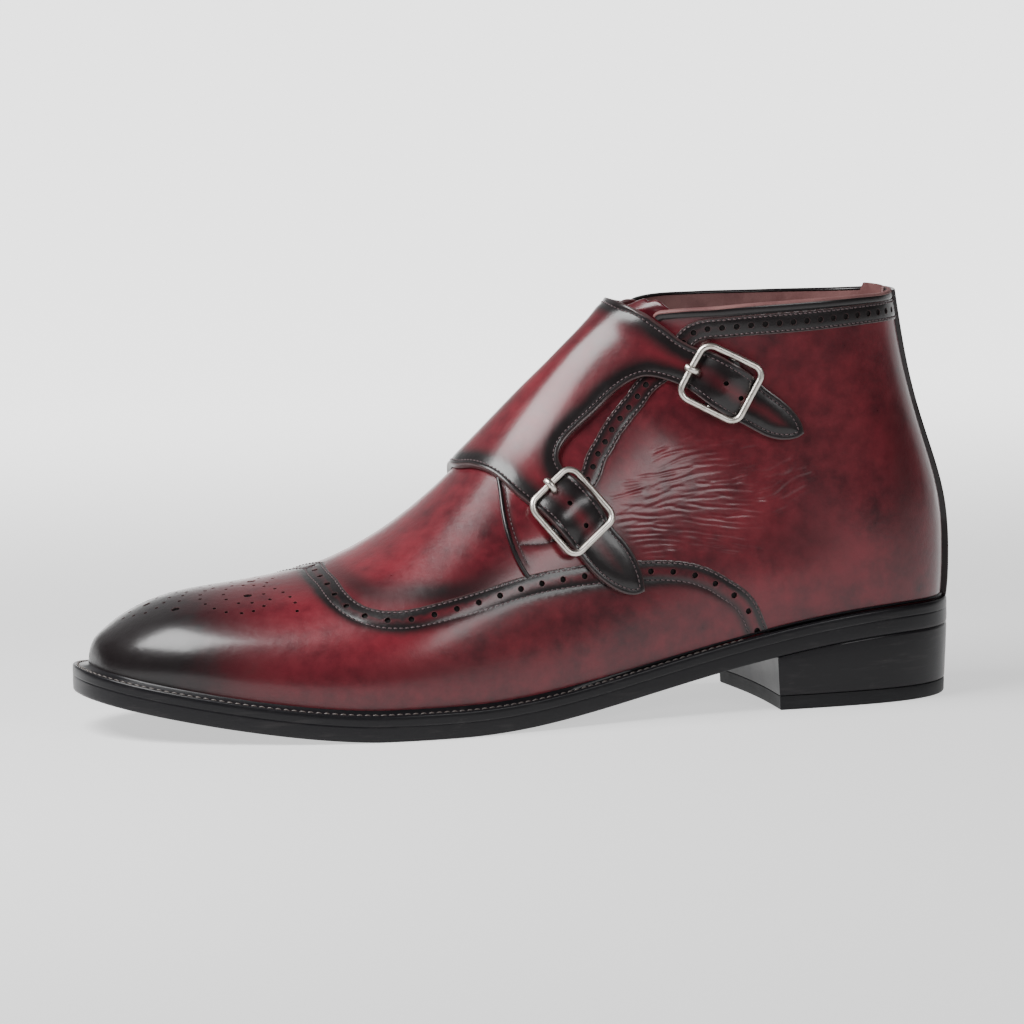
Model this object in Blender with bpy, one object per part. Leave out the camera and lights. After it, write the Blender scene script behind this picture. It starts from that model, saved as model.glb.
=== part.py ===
"""Double monk strap boot for the left foot, built on the sections of its last.

Shoe coordinates are millimetres: `along` runs from the back of the heel to the
toe, `across` is negative on the lateral (outer) side, and `up` is the height
above the floor.  The part's own frame is metres, with the toe towards -X and
its origin on the floor under the middle of the heel.

A place on the upper is a station, counted along the sections of the last, and
a turn around the section: -2 at the keel on the lateral side, -1 at its widest
point, 0 at the ridge, 1 and 2 the same on the medial side.
"""

import math
from collections import Counter, namedtuple

import bmesh
import bpy
import numpy as np

MM = 0.001

# Driving sizes, in millimetres.
SOLE_LENGTH = 306.0
HEEL_CENTRE = 35.0          # from the back of the heel to the origin
HEEL_HEIGHT = 24.2          # floor to the underside of the outsole at the heel
TOE_SPRING = 13.5           # floor to the underside of the outsole at the toe
TOE_SPRING_POWER = 1.5
FLAT_FROM = 185.0           # the forefoot is flat on the floor between these two
FLAT_TO = 212.0
HEEL_LEVEL_FROM = 15.0      # the shank has come up to heel height here
OUTSOLE_THICK = 5.5
WELT_THICK = 3.4            # at its outer edge
WELT_RISE = 1.4             # extra height where it meets the upper
INSOLE_THICK = 3.0
TOP_LIFT = 5.0
BREAST_LATERAL = 70.0       # front face of the heel
BREAST_MEDIAL = 73.0
HEEL_TAPER = 1.0            # the heel is this much narrower at the floor
WALL = 2.0                  # upper leather with its lining
TONGUE_THICK = 2.0
STRAP_THICK = 1.8
GAP = 0.3                   # between pieces that touch
FLAP_GAP = 0.6              # between the flap and the upper's open edges
INSOLE_INSET = 2.8          # from the upper's lower edge to the insole's edge
HAIR = 0.01                 # points closer than this are one point

# One row for each section of the last.  A section lies in a plane square to
# the side view, from its keel point up to its ridge point.  `centre` is how
# far the ridge lies across, `lateral` and `medial` where the form is widest,
# at the part `wide_at` of the height, and `crown` how full it is above that.
# The first row is the toe tip, and the last row lies above the collar.
Section = namedtuple(
    "Section", "keel_along keel_up ridge_along ridge_up centre lateral medial wide_at crown"
)
SECTIONS = (
    Section(300.4, 6.0, 300.4, 25.0, 3.5, 3.5, 3.5, 0.60, 0.60),
    Section(298.8, 5.0, 298.8, 29.8, 3.5, -6.5, 12.0, 0.59, 0.60),
    Section(294.6, 3.5, 294.6, 33.8, 3.5, -15.0, 19.5, 0.58, 0.60),
    Section(286.8, 1.0, 286.8, 38.8, 3.5, -23.5, 27.0, 0.56, 0.60),
    Section(272.0, -4.0, 272.0, 44.4, 3.5, -32.5, 34.5, 0.53, 0.60),
    Section(250.0, -10.0, 250.0, 47.4, 3.5, -41.0, 41.5, 0.50, 0.60),
    Section(222.0, -15.0, 222.0, 52.4, 4.0, -48.0, 46.0, 0.47, 0.60),
    Section(192.0, -18.0, 194.0, 66.2, 4.0, -49.5, 44.5, 0.42, 0.58),
    Section(160.0, -17.0, 172.0, 84.6, 4.0, -45.0, 38.5, 0.37, 0.56),
    Section(125.0, -12.0, 158.0, 98.6, 3.0, -38.5, 33.0, 0.37, 0.54),
    Section(85.0, -3.0, 148.0, 108.6, 2.0, -34.5, 31.0, 0.39, 0.54),
    Section(42.0, 4.0, 140.5, 115.8, 1.0, -33.0, 31.0, 0.38, 0.54),
    Section(13.5, 13.0, 135.0, 121.2, 0.5, -32.0, 31.0, 0.36, 0.54),
    Section(3.4, 28.0, 130.5, 125.6, 0.0, -31.5, 31.0, 0.36, 0.54),
    Section(1.6, 46.0, 127.0, 129.0, 0.0, -31.0, 30.5, 0.38, 0.54),
    Section(2.8, 68.0, 124.0, 132.0, 0.0, -30.0, 30.0, 0.42, 0.55),
    Section(9.5, 92.0, 121.5, 134.8, 0.0, -29.5, 29.5, 0.45, 0.56),
    Section(15.9, 116.0, 119.4, 137.0, 0.0, -29.5, 29.5, 0.47, 0.57),
    Section(20.1, 141.0, 117.6, 138.9, 0.0, -30.0, 30.0, 0.50, 0.58),
    Section(22.6, 158.0, 110.0, 147.0, 0.0, -31.0, 31.0, 0.50, 0.58),
)
KEEL_FULLNESS = 0.62
LAST_STATION = len(SECTIONS) - 1
TIP_STATION = 0.02          # the toe tip's normals are read here, just behind it
COLLAR = 18.0               # station of the collar's edge
THROAT = 10.5               # the throat is open from this station up
VAMP_SEAM = 8.3             # station where the quarters meet the vamp
SEAM_GAP = 0.005            # half the gap at the upper's seams, in stations or turns
TONGUE_FROM = 8.3
TONGUE_TO = 18.3
HEEL_SEARCH_FROM = 11.0     # a station ahead of the back of the heel

# Steps of the upper's grid.
FOOT_STEPS = 28
SHAFT_STEPS = 7
SIDE_STEPS = 13
TONGUE_STEPS = 5
SOLE_STEPS = 34

# Width of the ledge that the sole makes around the upper.
Margin = namedtuple("Margin", "along margin")
MARGINS = (
    Margin(0.0, 3.0),
    Margin(70.0, 3.5),
    Margin(120.0, 4.0),
    Margin(160.0, 5.0),
    Margin(240.0, 5.5),
    Margin(306.0, 5.6),
)

# Edges of the flap that closes the instep, as stations and turns.
Edge = namedtuple("Edge", "station turn")
FLAP_MEDIAL = (
    Edge(17.1, 0.62),
    Edge(14.0, 0.70),
    Edge(11.0, 0.74),
    Edge(7.6, 0.72),
)
FLAP_TOP = (
    Edge(17.1, 0.62),
    Edge(17.7, 0.30),
    Edge(17.93, 0.0),
    Edge(17.86, -0.17),
    Edge(17.40, -0.36),
    Edge(16.38, -0.511),
)
FLAP_FRONT = (
    Edge(7.6, 0.72),
    Edge(7.7, 0.30),
    Edge(7.84, -0.03),
    Edge(8.23, -0.22),
    Edge(8.57, -0.431),
)
# The curved cut between the two straps, in the side view.
SidePoint = namedtuple("SidePoint", "along up")
FLAP_CUT = (
    SidePoint(106.8, 114.0),
    SidePoint(111.6, 114.7),
    SidePoint(120.8, 110.5),
    SidePoint(132.0, 101.2),
    SidePoint(140.5, 94.0),
    SidePoint(143.4, 90.0),
    SidePoint(143.0, 86.2),
)
CUT_STEPS = 10
ACROSS_STEPS = 15

# Each strap lies along a line in the side view, through its buckle's middle.
Strap = namedtuple("Strap", "name along up slope half_width tail")
STRAPS = (
    Strap("upper", 87.6, 112.0, math.radians(32.3), 6.9, 31.7),
    Strap("lower", 141.6, 72.6, math.radians(51.5), 7.1, 36.4),
)
ROOT_STEPS = 3
STRAP_ROWS = (1.0, 0.6, 0.2, -0.2, -0.6, -1.0)
STRAP_STATIONS = (
    -12.5, -10.4, -8.8, -7.4, -6.0, -4.3, -2.5, -0.3, 2.5, 4.3, 6.0, 7.4, 8.8, 10.4, 13.0,
)
TAIL_STEPS = 6
TAIL_TIP = 0.12             # part of the strap's width left at the tip
TAIL_POWER = 2.2            # how late its sides turn in
STRAP_HOLE = (-6.0, -0.3)   # the prong comes through the strap here
STRAP_LIFT = 4.6            # how far the strap rises over the centre bar
STRAP_LIFT_REACH = 8.8
STRAP_LIFT_POWER = 1.5

# Buckle sizes.
BUCKLE_HALF_LENGTH = 10.4   # along the strap, to the middle of the wire
BUCKLE_HALF_WIDTH = 9.3
BUCKLE_CORNER = 4.2
WIRE_RADIUS = 1.1
WIRE_HEIGHT = 3.6           # middle of the wire above the upper
BAR_RADIUS = 0.8
BAR_HEIGHT = 2.4
PRONG_HALF_WIDTH = 1.0
PRONG_HALF_THICK = 0.5
PRONG_HOOK = 1.6            # radius of its hook around the bar
PRONG_REST_HEIGHT = 5.6
PRONG_REACH = 12.3
PRONG_TIP_DROP = 0.2
PRONG_ARC = (200.0, 440.0)  # degrees around the bar
PRONG_ARC_POINTS = 9
PRONG_STEPS = 4
TAB_HALF_WIDTH = 6.0
TAB_SLOT = 1.4              # half width of the slot that lets the prong through
TAB_THICK = 0.8
TAB_LOOP = 1.5              # radius of its loop around the bar
TAB_REACH = 6.2
TAB_FLAT_TO = 4.0
TAB_ARC = (-75.0, -290.0)
TAB_ARC_POINTS = 10
WIRE_SIDES = 8
CORNER_STEPS = 4
BAR_STEPS = 6


# ---- the last ----

def cubic_through(knots, rows, at):
    """Natural cubic spline through rows of values, read at the given places."""
    knots = np.asarray(knots, dtype=float)
    rows = np.asarray(rows, dtype=float)
    count = len(knots)
    step = np.diff(knots)
    system = np.eye(count)
    pull = np.zeros_like(rows)
    for i in range(1, count - 1):
        system[i, i - 1:i + 2] = step[i - 1], 2 * (step[i - 1] + step[i]), step[i]
        rise = (rows[i + 1] - rows[i]) / step[i]
        pull[i] = 6 * (rise - (rows[i] - rows[i - 1]) / step[i - 1])
    bend = np.linalg.solve(system, pull)
    at = np.clip(np.asarray(at, dtype=float), knots[0], knots[-1])
    i = np.clip(np.searchsorted(knots, at, side="right") - 1, 0, count - 2)
    width = step[i][..., None]
    b = (at - knots[i])[..., None] / width
    a = 1 - b
    curve = ((a**3 - a) * bend[i] + (b**3 - b) * bend[i + 1]) * width**2 / 6
    return a * rows[i] + b * rows[i + 1] + curve


def even_curve(rows, count):
    """Smooth curve through rows of values, cut into `count` even steps of its knots."""
    knots = np.linspace(0, 1, len(rows))
    fine = cubic_through(knots, rows, np.linspace(0, 1, 40 * count + 1))
    length = np.linalg.norm(np.diff(fine, axis=0), axis=1)
    travelled = np.concatenate([[0], np.cumsum(length)])
    places = np.linspace(0, travelled[-1], count + 1)
    return np.stack([np.interp(places, travelled, fine[:, k]) for k in range(fine.shape[1])], -1)


def tread_up(along):
    """Height of the outsole's underside: heel, shank, flat forefoot, toe spring."""
    along = np.asarray(along, dtype=float)
    back = np.clip((FLAT_FROM - along) / (FLAT_FROM - HEEL_LEVEL_FROM), 0, 1)
    front = np.clip((along - FLAT_TO) / (SOLE_LENGTH - FLAT_TO), 0, None)
    return HEEL_HEIGHT * (1 - np.cos(math.pi * back)) / 2 + TOE_SPRING * front**TOE_SPRING_POWER


def seat_up(along):
    """Height of the upper's lower edge, a gap above the outsole."""
    return tread_up(along) + OUTSOLE_THICK + GAP


def section_table():
    """Knots and rows of the sections, carried past the toe tip to make it round."""
    rows = [list(row) for row in SECTIONS]
    beyond = [list(row._replace(lateral=row.medial, medial=row.lateral)) for row in SECTIONS[2:0:-1]]
    return list(range(-len(beyond), len(rows))), beyond + rows


SECTION_KNOTS, SECTION_ROWS = section_table()


def section_at(station):
    """Section with the values of the table's columns at each station."""
    return Section(*np.moveaxis(cubic_through(SECTION_KNOTS, SECTION_ROWS, station), -1, 0))


def section_shape(row, turn):
    """Part of the section's height and part of its reach across, at a turn."""
    low = np.abs(turn) > 1
    t = np.where(low, np.abs(turn) - 1, 1 - np.abs(turn))
    full = np.where(low, KEEL_FULLNESS, row.crown)
    span = np.where(low, -row.wide_at, 1 - row.wide_at)
    s = 1 - t
    reach = s**3 + 3 * s * s * t + 3 * s * t * t * full
    rise = 3 * s * s * t * full + 3 * s * t * t + t**3
    return row.wide_at + span * rise, reach


def last_point(station, turn):
    """Point on the outside of the upper, in shoe coordinates."""
    station, turn = np.broadcast_arrays(np.asarray(station, float), np.asarray(turn, float))
    row = section_at(station)
    level, reach = section_shape(row, turn)
    widest = np.where(turn < 0, row.lateral, row.medial)
    return np.stack(
        [
            row.keel_along + (row.ridge_along - row.keel_along) * level,
            row.centre + (widest - row.centre) * reach,
            row.keel_up + (row.ridge_up - row.keel_up) * level,
        ],
        axis=-1,
    )


def last_normal(station, turn):
    """Unit normal of the last, pointing away from the foot."""
    nudge = 0.002
    station = np.maximum(station, TIP_STATION)
    along = last_point(station + nudge, turn) - last_point(station - nudge, turn)
    around = last_point(station, turn + nudge) - last_point(station, turn - nudge)
    normal = np.cross(around, along)
    return normal / np.linalg.norm(normal, axis=-1, keepdims=True)


def offset_point(station, turn, offset):
    """Point at a distance outside the last, or inside it where that is negative."""
    station, turn, offset = np.broadcast_arrays(
        np.asarray(station, float), np.asarray(turn, float), np.asarray(offset, float)
    )
    return last_point(station, turn) + offset[..., None] * last_normal(station, turn)


def halved(low, high, is_before, rounds=34):
    """Place between two arrays of limits where `is_before` stops being true."""
    for _ in range(rounds):
        middle = (low + high) / 2
        before = is_before(middle)
        low = np.where(before, middle, low)
        high = np.where(before, high, middle)
    return (low + high) / 2


def side_to_last(along, up):
    """Station and turn of the point on the lateral side with this side view place."""
    along, up = np.broadcast_arrays(np.asarray(along, float), np.asarray(up, float))

    def ahead(station):
        row = section_at(station)
        rise = (row.ridge_along - row.keel_along, row.ridge_up - row.keel_up)
        return rise[0] * (up - row.keel_up) - rise[1] * (along - row.keel_along) > 0

    station = halved(np.zeros(along.shape), np.full(along.shape, float(LAST_STATION)), ahead)
    row = section_at(station)
    rise = np.stack([row.ridge_along - row.keel_along, row.ridge_up - row.keel_up], -1)
    place = np.stack([along - row.keel_along, up - row.keel_up], -1)
    wanted = (place * rise).sum(-1) / (rise * rise).sum(-1)
    turn = halved(
        np.zeros(along.shape),
        np.full(along.shape, 2.0),
        lambda middle: section_shape(row, middle)[0] > wanted,
    )
    return station, -turn


# ---- outlines of the bottom ----

def edge_turns(stations, side, lift):
    """Turn at which each section stands `lift` above the seat, 2 where it is all above."""

    def above(turn):
        point = last_point(stations, side * turn)
        return point[..., 2] > seat_up(point[..., 0]) + lift

    return side * halved(np.zeros(stations.shape), np.full(stations.shape, 2.0), above)


def heel_station(lift):
    """Station whose keel point stands `lift` above the seat, at the back of the heel."""
    stations = np.linspace(HEEL_SEARCH_FROM, COLLAR, 400)
    keel = last_point(stations, 2.0)
    height = keel[:, 2] - seat_up(keel[:, 0]) - lift
    return float(np.interp(0.0, height, stations))


def foot_stations(lift):
    """Stations from the toe tip to the back of the heel, closer where it turns."""
    return heel_station(lift) * np.sin(np.linspace(0, math.pi / 2, FOOT_STEPS + 1))


def level_outline(lift):
    """Closed outline of the upper at a height above its seat.

    It runs from the back of the heel along the lateral side to the toe tip and
    back along the medial side.
    """
    stations = foot_stations(lift)
    lateral = last_point(stations, edge_turns(stations, -1, lift))
    medial = last_point(stations, edge_turns(stations, 1, lift))
    return np.concatenate([lateral[::-1], medial[1:-1]])


def grown(outline, widths):
    """Outline moved outwards in plan by the given widths."""
    ahead = np.roll(outline, -1, axis=0) - np.roll(outline, 1, axis=0)
    outward = np.stack([ahead[:, 1], -ahead[:, 0]], -1)
    outward /= np.linalg.norm(outward, axis=1, keepdims=True)
    return outline[:, :2] + outward * np.broadcast_to(widths, len(outline))[:, None]


def sole_outline():
    """Closed outline of the sole, a margin outside the upper's lower edge."""
    foot = level_outline(0.0)
    knots, margins = zip(*MARGINS)
    return grown(foot, np.interp(foot[:, 0], knots, margins))


def sides_of(outline, along):
    """Lateral and medial points of an outline at places along the shoe."""
    tip = int(np.argmax(outline[:, 0]))
    lateral = outline[:tip + 1]
    medial = np.concatenate([outline[tip:], outline[:1]])[::-1]
    inside = np.clip(along, outline[:, 0].min(), outline[:, 0].max())
    return (
        np.stack([inside, np.interp(inside, lateral[:, 0], lateral[:, 1])], -1),
        np.stack([inside, np.interp(inside, medial[:, 0], medial[:, 1])], -1),
    )


def rounded_places(low, high, count):
    """Places from low to high, closer together towards both ends."""
    return low + (high - low) * (1 - np.cos(np.linspace(0, math.pi, count + 1))) / 2


# ---- solids ----

def grid_quads(rows, columns, keep=lambda row, column: True):
    """Quads of a grid of points, without those that `keep` refuses."""
    quads = []
    for row in range(rows - 1):
        for column in range(columns - 1):
            if keep(row, column):
                first = row * columns + column
                quads.append((first, first + 1, first + columns + 1, first + columns))
    return quads


def tip_split(quads, columns):
    """Quads with the first row cut in triangles, none across the tip's closed line."""
    faces = []
    for a, b, c, d in quads:
        if a >= columns - 1:
            faces.append((a, b, c, d))
        elif a < columns // 2:
            faces.extend([(a, b, d), (b, c, d)])
        else:
            faces.extend([(a, b, c), (a, c, d)])
    return faces


def joined(points, faces):
    """Points and faces with coinciding points made one and flat faces left out."""
    points = np.asarray(points).reshape(-1, 3)
    keys = [tuple(key) for key in np.round(points / HAIR).astype(int)]
    numbers = {}
    for key in keys:
        numbers.setdefault(key, len(numbers))
    kept = np.zeros((len(numbers), 3))
    for key, point in zip(keys, points):
        kept[numbers[key]] = point
    clean = []
    for face in faces:
        corners = [numbers[keys[corner]] for corner in face]
        ring = [c for i, c in enumerate(corners) if c != corners[i - 1]]
        if len(set(ring)) == len(ring) > 2:
            clean.append(tuple(ring))
    return kept, clean


def shell(outer, inner, quads):
    """Closed solid between two sheets of points that share their quads."""
    outer = np.asarray(outer).reshape(-1, 3)
    inner = np.asarray(inner).reshape(-1, 3)
    sheet, faces = joined(outer, quads)
    partner = {tuple(key): point for key, point in zip(np.round(outer / HAIR).astype(int), inner)}
    lining = np.array([partner[tuple(key)] for key in np.round(sheet / HAIR).astype(int)])
    shift = len(sheet)
    sides = Counter()
    for face in faces:
        for i, corner in enumerate(face):
            sides[frozenset((corner, face[i - 1]))] += 1
    rims = []
    for face in faces:
        for i, corner in enumerate(face):
            before = face[i - 1]
            if sides[frozenset((corner, before))] == 1:
                rims.append((corner, before, before + shift, corner + shift))
    linings = [tuple(corner + shift for corner in reversed(face)) for face in faces]
    return np.concatenate([sheet, lining]), faces + linings + rims


def plate(lateral, medial, lower, upper):
    """Closed solid across ribs from lateral to medial points, between two heights."""
    ribs = []
    for near, far in zip(lateral, medial):
        ribs.append([
            (*near, lower(near[0])),
            (*far, lower(far[0])),
            (*far, upper(far[0])),
            (*near, upper(near[0])),
        ])
    return sweep(np.array(ribs), closed=False)


def sweep(loops, closed):
    """Closed solid through loops of points, as a ring or with both ends capped."""
    count, size = loops.shape[:2]
    faces = []
    for k in range(count if closed else count - 1):
        ahead = (k + 1) % count
        for i in range(size):
            j = (i + 1) % size
            faces.append((k * size + i, k * size + j, ahead * size + j, ahead * size + i))
    if not closed:
        faces.append(tuple(reversed(range(size))))
        faces.append(tuple((count - 1) * size + i for i in range(size)))
    return joined(loops, faces)


# ---- upper, tongue, insole ----

def upper_places(first=0.0, last=COLLAR):
    """Stations and turns of the upper's grid between two stations, a row for each."""
    foot = foot_stations(0.0)
    shaft = np.linspace(foot[-1], COLLAR, SHAFT_STEPS + 1)[1:]
    stations = np.concatenate([foot, shaft])
    stations = stations[(stations > first) & (stations < last)]
    stations = np.concatenate([[first], stations, [last]])
    rows = []
    for side in (-1, 1):
        edge = edge_turns(stations, side, 0.0)
        edge[stations > foot[-1] - SEAM_GAP] = 2.0 * side
        rows.append(edge[:, None] * np.linspace(1, 0, SIDE_STEPS + 1))
    turns = np.concatenate([rows[0], rows[1][:, ::-1][:, 1:]], axis=1)
    return np.broadcast_to(stations[:, None], turns.shape), turns


def wall(stations, turns, quads):
    """Closed solid of the upper's leather and lining over part of its grid."""
    return shell(offset_point(stations, turns, 0.0), offset_point(stations, turns, -WALL), quads)


def vamp():
    """Hollow front of the upper, from the toe tip to the vamp seam."""
    stations, turns = upper_places(last=VAMP_SEAM - SEAM_GAP)
    return wall(stations, turns, tip_split(grid_quads(*stations.shape), stations.shape[1]))


def quarter(side):
    """One side of the upper behind the vamp seam, open along the throat."""
    stations, turns = upper_places(first=VAMP_SEAM + SEAM_GAP)
    columns = slice(0, SIDE_STEPS + 1) if side < 0 else slice(SIDE_STEPS, None)
    throat_column = SIDE_STEPS - 1 if side < 0 else 0
    stations = stations[:, columns]
    turns = side * np.clip(np.abs(turns[:, columns]), SEAM_GAP, 2 - SEAM_GAP)

    def keep(row, column):
        return column != throat_column or stations[row, 0] < THROAT

    return wall(stations, turns, grid_quads(*stations.shape, keep))


def tongue():
    """Tongue under the throat, inside the upper."""
    stations, turns = upper_places()
    columns = slice(SIDE_STEPS - TONGUE_STEPS, SIDE_STEPS + TONGUE_STEPS + 1)
    rows = stations[:, 0] >= TONGUE_FROM
    stations = stations[rows, columns]
    turns = turns[rows, columns]
    stations = np.concatenate([stations, np.full_like(stations[:1], TONGUE_TO)])
    turns = np.concatenate([turns, turns[-1:]])
    outside = -WALL - GAP
    quads = grid_quads(*stations.shape)
    return shell(
        offset_point(stations, turns, outside),
        offset_point(stations, turns, outside - TONGUE_THICK),
        quads,
    )


def insole():
    """Insole on the outsole, inside the upper's lower edge."""
    outline = grown(level_outline(0.0), -INSOLE_INSET)
    places = rounded_places(outline[:, 0].min(), outline[:, 0].max(), SOLE_STEPS)
    return plate(
        *sides_of(outline, places), seat_up, lambda along: seat_up(along) + INSOLE_THICK
    )


# ---- sole ----

def outsole():
    """Outsole from heel to toe, with its shank, flat forefoot and toe spring."""
    outline = sole_outline()
    places = rounded_places(outline[:, 0].min(), outline[:, 0].max(), SOLE_STEPS)
    places = np.sort(np.append(places, [FLAT_FROM, FLAT_TO]))
    return plate(
        *sides_of(outline, places), tread_up, lambda along: tread_up(along) + OUTSOLE_THICK
    )


def welt():
    """Welt and heel rand in one ring around the upper's lower edge."""
    low = grown(level_outline(0.0), GAP)
    high_level = WELT_THICK + WELT_RISE
    high = grown(level_outline(high_level), GAP)
    rim = sole_outline()
    loops = np.stack([
        np.column_stack([low, seat_up(low[:, 0])]),
        np.column_stack([rim, seat_up(rim[:, 0])]),
        np.column_stack([rim, seat_up(rim[:, 0]) + WELT_THICK]),
        np.column_stack([high, seat_up(high[:, 0]) + high_level]),
    ], axis=1)
    return sweep(loops, closed=True)


def heel_ribs(inset):
    """Lateral and medial edges of the heel, from its back to its front face."""
    outline = grown(sole_outline(), -inset)
    back = outline[:, 0].min()
    part = 1 - np.cos(np.linspace(0, math.pi / 2, SOLE_STEPS // 2))
    lateral, _ = sides_of(outline, back + (BREAST_LATERAL - back) * part)
    _, medial = sides_of(outline, back + (BREAST_MEDIAL - back) * part)
    return lateral, medial


def heel_block(bottom, top, inset_bottom, inset_top):
    """Closed heel piece between two heights, narrower towards the floor."""
    lower = heel_ribs(inset_bottom)
    upper_edge = heel_ribs(inset_top)
    ribs = []
    for low_lateral, low_medial, top_lateral, top_medial in zip(*lower, *upper_edge):
        ribs.append([
            (*low_lateral, bottom),
            (*low_medial, bottom),
            (*top_medial, top(top_medial[0])),
            (*top_lateral, top(top_lateral[0])),
        ])
    return sweep(np.array(ribs), closed=False)


def heel_stack():
    """Stacked heel between the top lift and the outsole."""
    share = TOP_LIFT / HEEL_HEIGHT
    return heel_block(
        TOP_LIFT + GAP, lambda along: tread_up(along) - GAP, HEEL_TAPER * (1 - share), 0.0
    )


def top_lift():
    """Top lift, the flat piece of the heel that stands on the floor."""
    share = TOP_LIFT / HEEL_HEIGHT
    return heel_block(0.0, lambda along: TOP_LIFT, HEEL_TAPER, HEEL_TAPER * (1 - share))


# ---- flap with its two straps ----

def strap_lift(run):
    """Height of the strap's underside above the upper, as it rides over the bar."""
    inside = np.clip(1 - (np.asarray(run) / STRAP_LIFT_REACH) ** 2, 0, None)
    return FLAP_GAP + STRAP_LIFT * inside**STRAP_LIFT_POWER


def strap_side(strap, run, across):
    """Side view place on a strap: `run` from the buckle's middle to the tail."""
    along = strap.along - run * math.cos(strap.slope) - across * math.sin(strap.slope)
    up = strap.up - run * math.sin(strap.slope) + across * math.cos(strap.slope)
    return along, up


def strap_point(strap, run, across, height):
    """Point over a strap's line, at a height above the upper."""
    return offset_point(*side_to_last(*strap_side(strap, run, across)), height)


def tail_width(strap, run):
    """Part of the strap's width that is left along its pointed tail."""
    start = STRAP_STATIONS[-1]
    part = np.clip((run - start) / (strap.tail - start), 0, 1)
    return np.maximum(np.sqrt(1 - part**TAIL_POWER), TAIL_TIP)


def strap_grid(strap, root):
    """Side view grid of a strap from its root on the flap to its tip, and its lifts."""
    rows = np.array(STRAP_ROWS)
    tail = STRAP_STATIONS[-1] + (strap.tail - STRAP_STATIONS[-1]) * np.sin(
        np.linspace(0, math.pi / 2, TAIL_STEPS + 1)
    )[1:]
    runs = np.concatenate([STRAP_STATIONS, tail])
    run, row = np.meshgrid(runs, rows)
    across = row * strap.half_width * tail_width(strap, run)
    places = np.stack(strap_side(strap, run, across), -1)
    share = np.arange(ROOT_STEPS)[None, :, None] / ROOT_STEPS
    approach = root[:, None] * (1 - share) + places[:, :1] * share
    places = np.concatenate([approach, places], axis=1)
    lifts = np.concatenate([np.full((len(rows), ROOT_STEPS), FLAP_GAP), strap_lift(run)], axis=1)
    return places, lifts, np.concatenate([np.full(ROOT_STEPS, runs[0]), runs])


def flap():
    """Flap from the medial side over the instep, with both straps, in one piece."""
    cut = even_curve(FLAP_CUT, CUT_STEPS)
    roots = {}
    top_root = last_point(*FLAP_TOP[-1])
    front_root = last_point(*FLAP_FRONT[-1])
    share = (1 - np.array(STRAP_ROWS)) / 2
    ends = {
        "upper": (top_root[[0, 2]], cut[0]),
        "lower": (cut[-1], front_root[[0, 2]]),
    }
    for name, (first, last) in ends.items():
        roots[name] = first + share[:, None] * (last - first)

    # Rows of the flap's body run across the instep, from the collar to the front.
    side_line = np.concatenate([roots["upper"], cut[1:-1], roots["lower"]])
    right = np.stack(side_to_last(side_line[:, 0], side_line[:, 1]), -1)
    rows = len(right)
    length = np.linalg.norm(np.diff(right, axis=0), axis=1)
    v = np.concatenate([[0], np.cumsum(length)]) / length.sum()
    w = np.linspace(0, 1, ACROSS_STEPS + 1)
    medial = cubic_through(np.linspace(0, 1, len(FLAP_MEDIAL)), FLAP_MEDIAL, v)
    top = even_curve(FLAP_TOP, ACROSS_STEPS)
    front = even_curve(FLAP_FRONT, ACROSS_STEPS)
    v = v[:, None, None]
    w = w[None, :, None]
    body = (1 - v) * top[None] + v * front[None]
    body = body + (1 - w) * medial[:, None] + w * right[:, None]
    corner = (1 - v) * ((1 - w) * top[0] + w * top[-1]) + v * ((1 - w) * front[0] + w * front[-1])
    body = body - corner
    body[:, -1] = right

    sheets = [offset_point(body[..., 0], body[..., 1], FLAP_GAP)]
    covers = [offset_point(body[..., 0], body[..., 1], FLAP_GAP + STRAP_THICK)]
    quads = grid_quads(rows, ACROSS_STEPS + 1)
    for strap in STRAPS:
        places, lifts, runs = strap_grid(strap, roots[strap.name])
        station, turn = side_to_last(places[..., 0], places[..., 1])
        start = sum(sheet.size // 3 for sheet in sheets)

        def keep(row, column, runs=runs):
            beside = row == len(STRAP_ROWS) // 2 - 1
            over_hole = STRAP_HOLE[0] <= runs[column] and runs[column + 1] <= STRAP_HOLE[1]
            return not (beside and over_hole)

        for quad in grid_quads(*station.shape, keep):
            quads.append(tuple(start + corner for corner in quad))
        sheets.append(offset_point(station, turn, lifts))
        covers.append(offset_point(station, turn, lifts + STRAP_THICK))
    outer = np.concatenate([cover.reshape(-1, 3) for cover in covers])
    inner = np.concatenate([sheet.reshape(-1, 3) for sheet in sheets])
    return shell(outer, inner, quads)


# ---- buckles ----

def on_strap(strap, loops, closed):
    """Solid through loops of (run, across, height) points laid over a strap's line."""
    points = strap_point(strap, loops[..., 0], loops[..., 1], loops[..., 2])
    return sweep(points, closed)


def wire_angles():
    """Angles of the points around a piece of wire."""
    return np.linspace(0, 2 * math.pi, WIRE_SIDES, endpoint=False)


def steps_ahead(path):
    """Unit directions along a path of points."""
    ahead = np.gradient(path, axis=0)
    return ahead / np.linalg.norm(ahead, axis=1, keepdims=True)


def arc_points(radius, first, last, count):
    """Points (run, height) of an arc around the centre bar, angles in degrees."""
    angles = np.radians(np.linspace(first, last, count))
    return np.stack([radius * np.cos(angles), BAR_HEIGHT + radius * np.sin(angles)], -1)


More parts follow.
